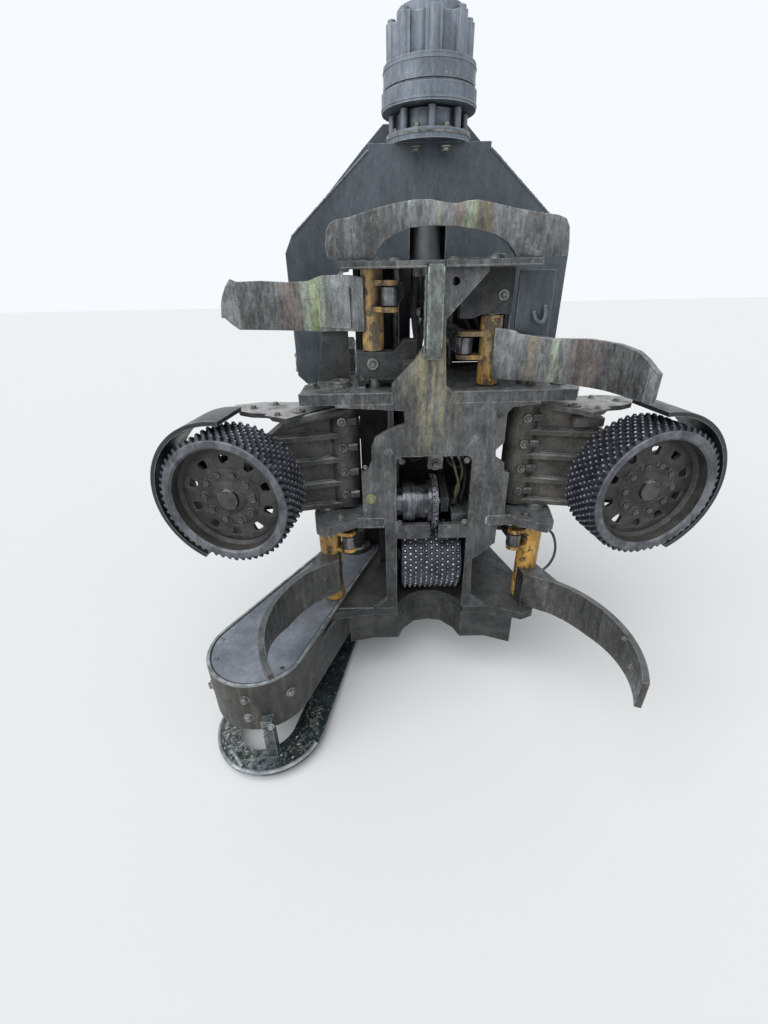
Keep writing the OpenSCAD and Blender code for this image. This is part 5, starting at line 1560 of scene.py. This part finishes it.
bent_plate("top_knife_plate", "head",
           [(-294, -668), (-290, -640), (-281, -625), (-267, -618), (-231, -611), (-173, -595), (-122, -584),
            (-76, -577), (-36, -577), (8, -585), (30, -586), (58, -581), (80, -580), (120, -588), (173, -600),
            (223, -609), (268, -616), (288, -624), (297, -641), (302, -670), (302, -690)],
           [(-294, -670), (-290, -697), (-280, -700), (-258, -700), (-221, -701), (-177, -702), (-164, -681),
            (-149, -662), (-122, -647), (-86, -634), (-27, -630), (26, -632), (85, -641), (126, -651),
            (160, -671), (177, -691), (183, -702), (249, -703), (270, -703), (297, -702), (302, -695)],
           on_top_knife, TOP_KNIFE_THICK, [TOP_KNIFE], "top_knife", steps=240)
print("bent knives: 3")

# %% Doubler, welds and grease pipe of the knives
bm = bmesh.new()
curved_plate(bm, LEFT_BLADE_MIDDLE, BLADE_SKIN + 0.5 * MM, 5.5 * MM, 54.3, 70.5, -0.872, -0.766)
keep(bm, "knife_doubler", "upper_left_knife_body", [UPPER_LEFT_KNIFE])

bm = bmesh.new()
weld(bm, (-0.2145, -0.4405, -0.872), (-0.2145, -0.4405, -0.744), 4.5 * MM)
keep(bm, "left_knife_weld", "upper_left_knife_body", [UPPER_LEFT_KNIFE])

bm = bmesh.new()
weld(bm, (0.1700, -0.4495, -1.008), (0.1700, -0.4495, -0.880), 4.5 * MM)
keep(bm, "right_knife_weld", "upper_right_knife_body", [UPPER_RIGHT_KNIFE])

bm = bmesh.new()
for x, y in ((0.532, -0.845), (0.498, -0.949)):
    ring(bm, (x, y, -1.6905), (0, 0, 1), 8 * MM, 3.5 * MM, 4 * MM, 1)
tube(bm, smooth_path([(0.392, -0.4895, -1.515), (0.420, -0.497, -1.545), (0.438, -0.492, -1.610),
                      (0.430, -0.486, -1.670), (0.393, -0.487, -1.715)]), 4.5 * MM, 10, 0)
for place, tip in (((0.392, -0.4895, -1.515), (0.392, -0.4765, -1.505)),
                   ((0.393, -0.487, -1.715), (0.388, -0.4765, -1.722))):
    tube(bm, [Vector(place), Vector(tip)], 8 * MM, 6, 1)
keep(bm, "grease_pipe", "lower_right_knife_body", [BLACK_PAINT, FITTING])
print("knife details ready")

# %% [markdown]
# ## Floor, light and background
#
# The head hangs a little above a plain pale floor. Three wide soft suns light the floor
# evenly out to the horizon, and a pale world fills the shadows. The camera sees the world
# as white, and so do mirrors and glass, while the light on the steel stays at a plain
# level.

# %% Floor and backdrop
FLOOR_GAP = 0.03
FLOOR_SIZE = 40.0
FLOOR_COLOUR = (0.80, 0.80, 0.79)

floor_z = cad_low.z - FLOOR_GAP
floor_mesh = bpy.data.meshes.new("floor")
half = FLOOR_SIZE / 2
corners = [(-half, -half, floor_z), (half, -half, floor_z), (half, half, floor_z), (-half, half, floor_z)]
floor_mesh.from_pydata(corners, [], [(0, 1, 2, 3)])
floor = bpy.data.objects.new("floor", floor_mesh)
bpy.context.scene.collection.objects.link(floor)
floor_material = bpy.data.materials.new("floor_pale")
floor_material.use_nodes = True
floor_shader = floor_material.node_tree.nodes["Principled BSDF"]
floor_shader.inputs["Base Color"].default_value = (*FLOOR_COLOUR, 1)
floor_shader.inputs["Roughness"].default_value = 0.9
floor_mesh.materials.append(floor_material)
print("floor at z", round(floor_z, 3))

# %% World and lamps
SKY_LEVEL = 0.36

world = bpy.data.worlds.new("studio")
bpy.context.scene.world = world
world.use_nodes = True
nodes = world.node_tree.nodes
links = world.node_tree.links
backdrop = nodes["Background"]
backdrop.inputs["Color"].default_value = (0.93, 0.96, 1.0, 1)
rays = nodes.new("ShaderNodeLightPath")
seen = nodes.new("ShaderNodeMath")
seen.operation = "MAXIMUM"
links.new(rays.outputs["Is Camera Ray"], seen.inputs[0])
links.new(rays.outputs["Is Transmission Ray"], seen.inputs[1])
seen_or_glossy = nodes.new("ShaderNodeMath")
seen_or_glossy.operation = "MAXIMUM"
links.new(seen.outputs[0], seen_or_glossy.inputs[0])
links.new(rays.outputs["Is Glossy Ray"], seen_or_glossy.inputs[1])
level = nodes.new("ShaderNodeMapRange")
level.inputs["To Min"].default_value = SKY_LEVEL
level.inputs["To Max"].default_value = 1.0
links.new(seen_or_glossy.outputs[0], level.inputs["Value"])
links.new(level.outputs["Result"], backdrop.inputs["Strength"])


def soft_sun(name, place, level, wide, tint=(1, 1, 1)):
    data = bpy.data.lights.new(name, "SUN")
    data.energy = level
    data.angle = math.radians(wide)
    data.color = tint
    lamp = bpy.data.objects.new(name, data)
    bpy.context.scene.collection.objects.link(lamp)
    lamp.rotation_mode = "QUATERNION"
    lamp.rotation_quaternion = (-Vector(place)).to_track_quat("-Z", "Y")


soft_sun("sky_sun", (-0.35, -0.50, 1.0), 2.3, 70, (0.95, 0.98, 1.0))
soft_sun("left_sun", (-1.0, -0.75, 0.45), 0.7, 60)
soft_sun("right_sun", (1.0, -0.75, 0.35), 0.35, 60)
bpy.context.scene.view_settings.view_transform = "Standard"
print("lamps: 3, world level", SKY_LEVEL)

# %% [markdown]
# ## Finish
#
# The last lines print the lengths of the hoses and the box of the solids.

# %% Sizes
print("hoses:", len(hose_lengths), "lengths in m:", hose_lengths)
print("solids' box:", [round(c, 3) for c in (*cad_low, *cad_high)])
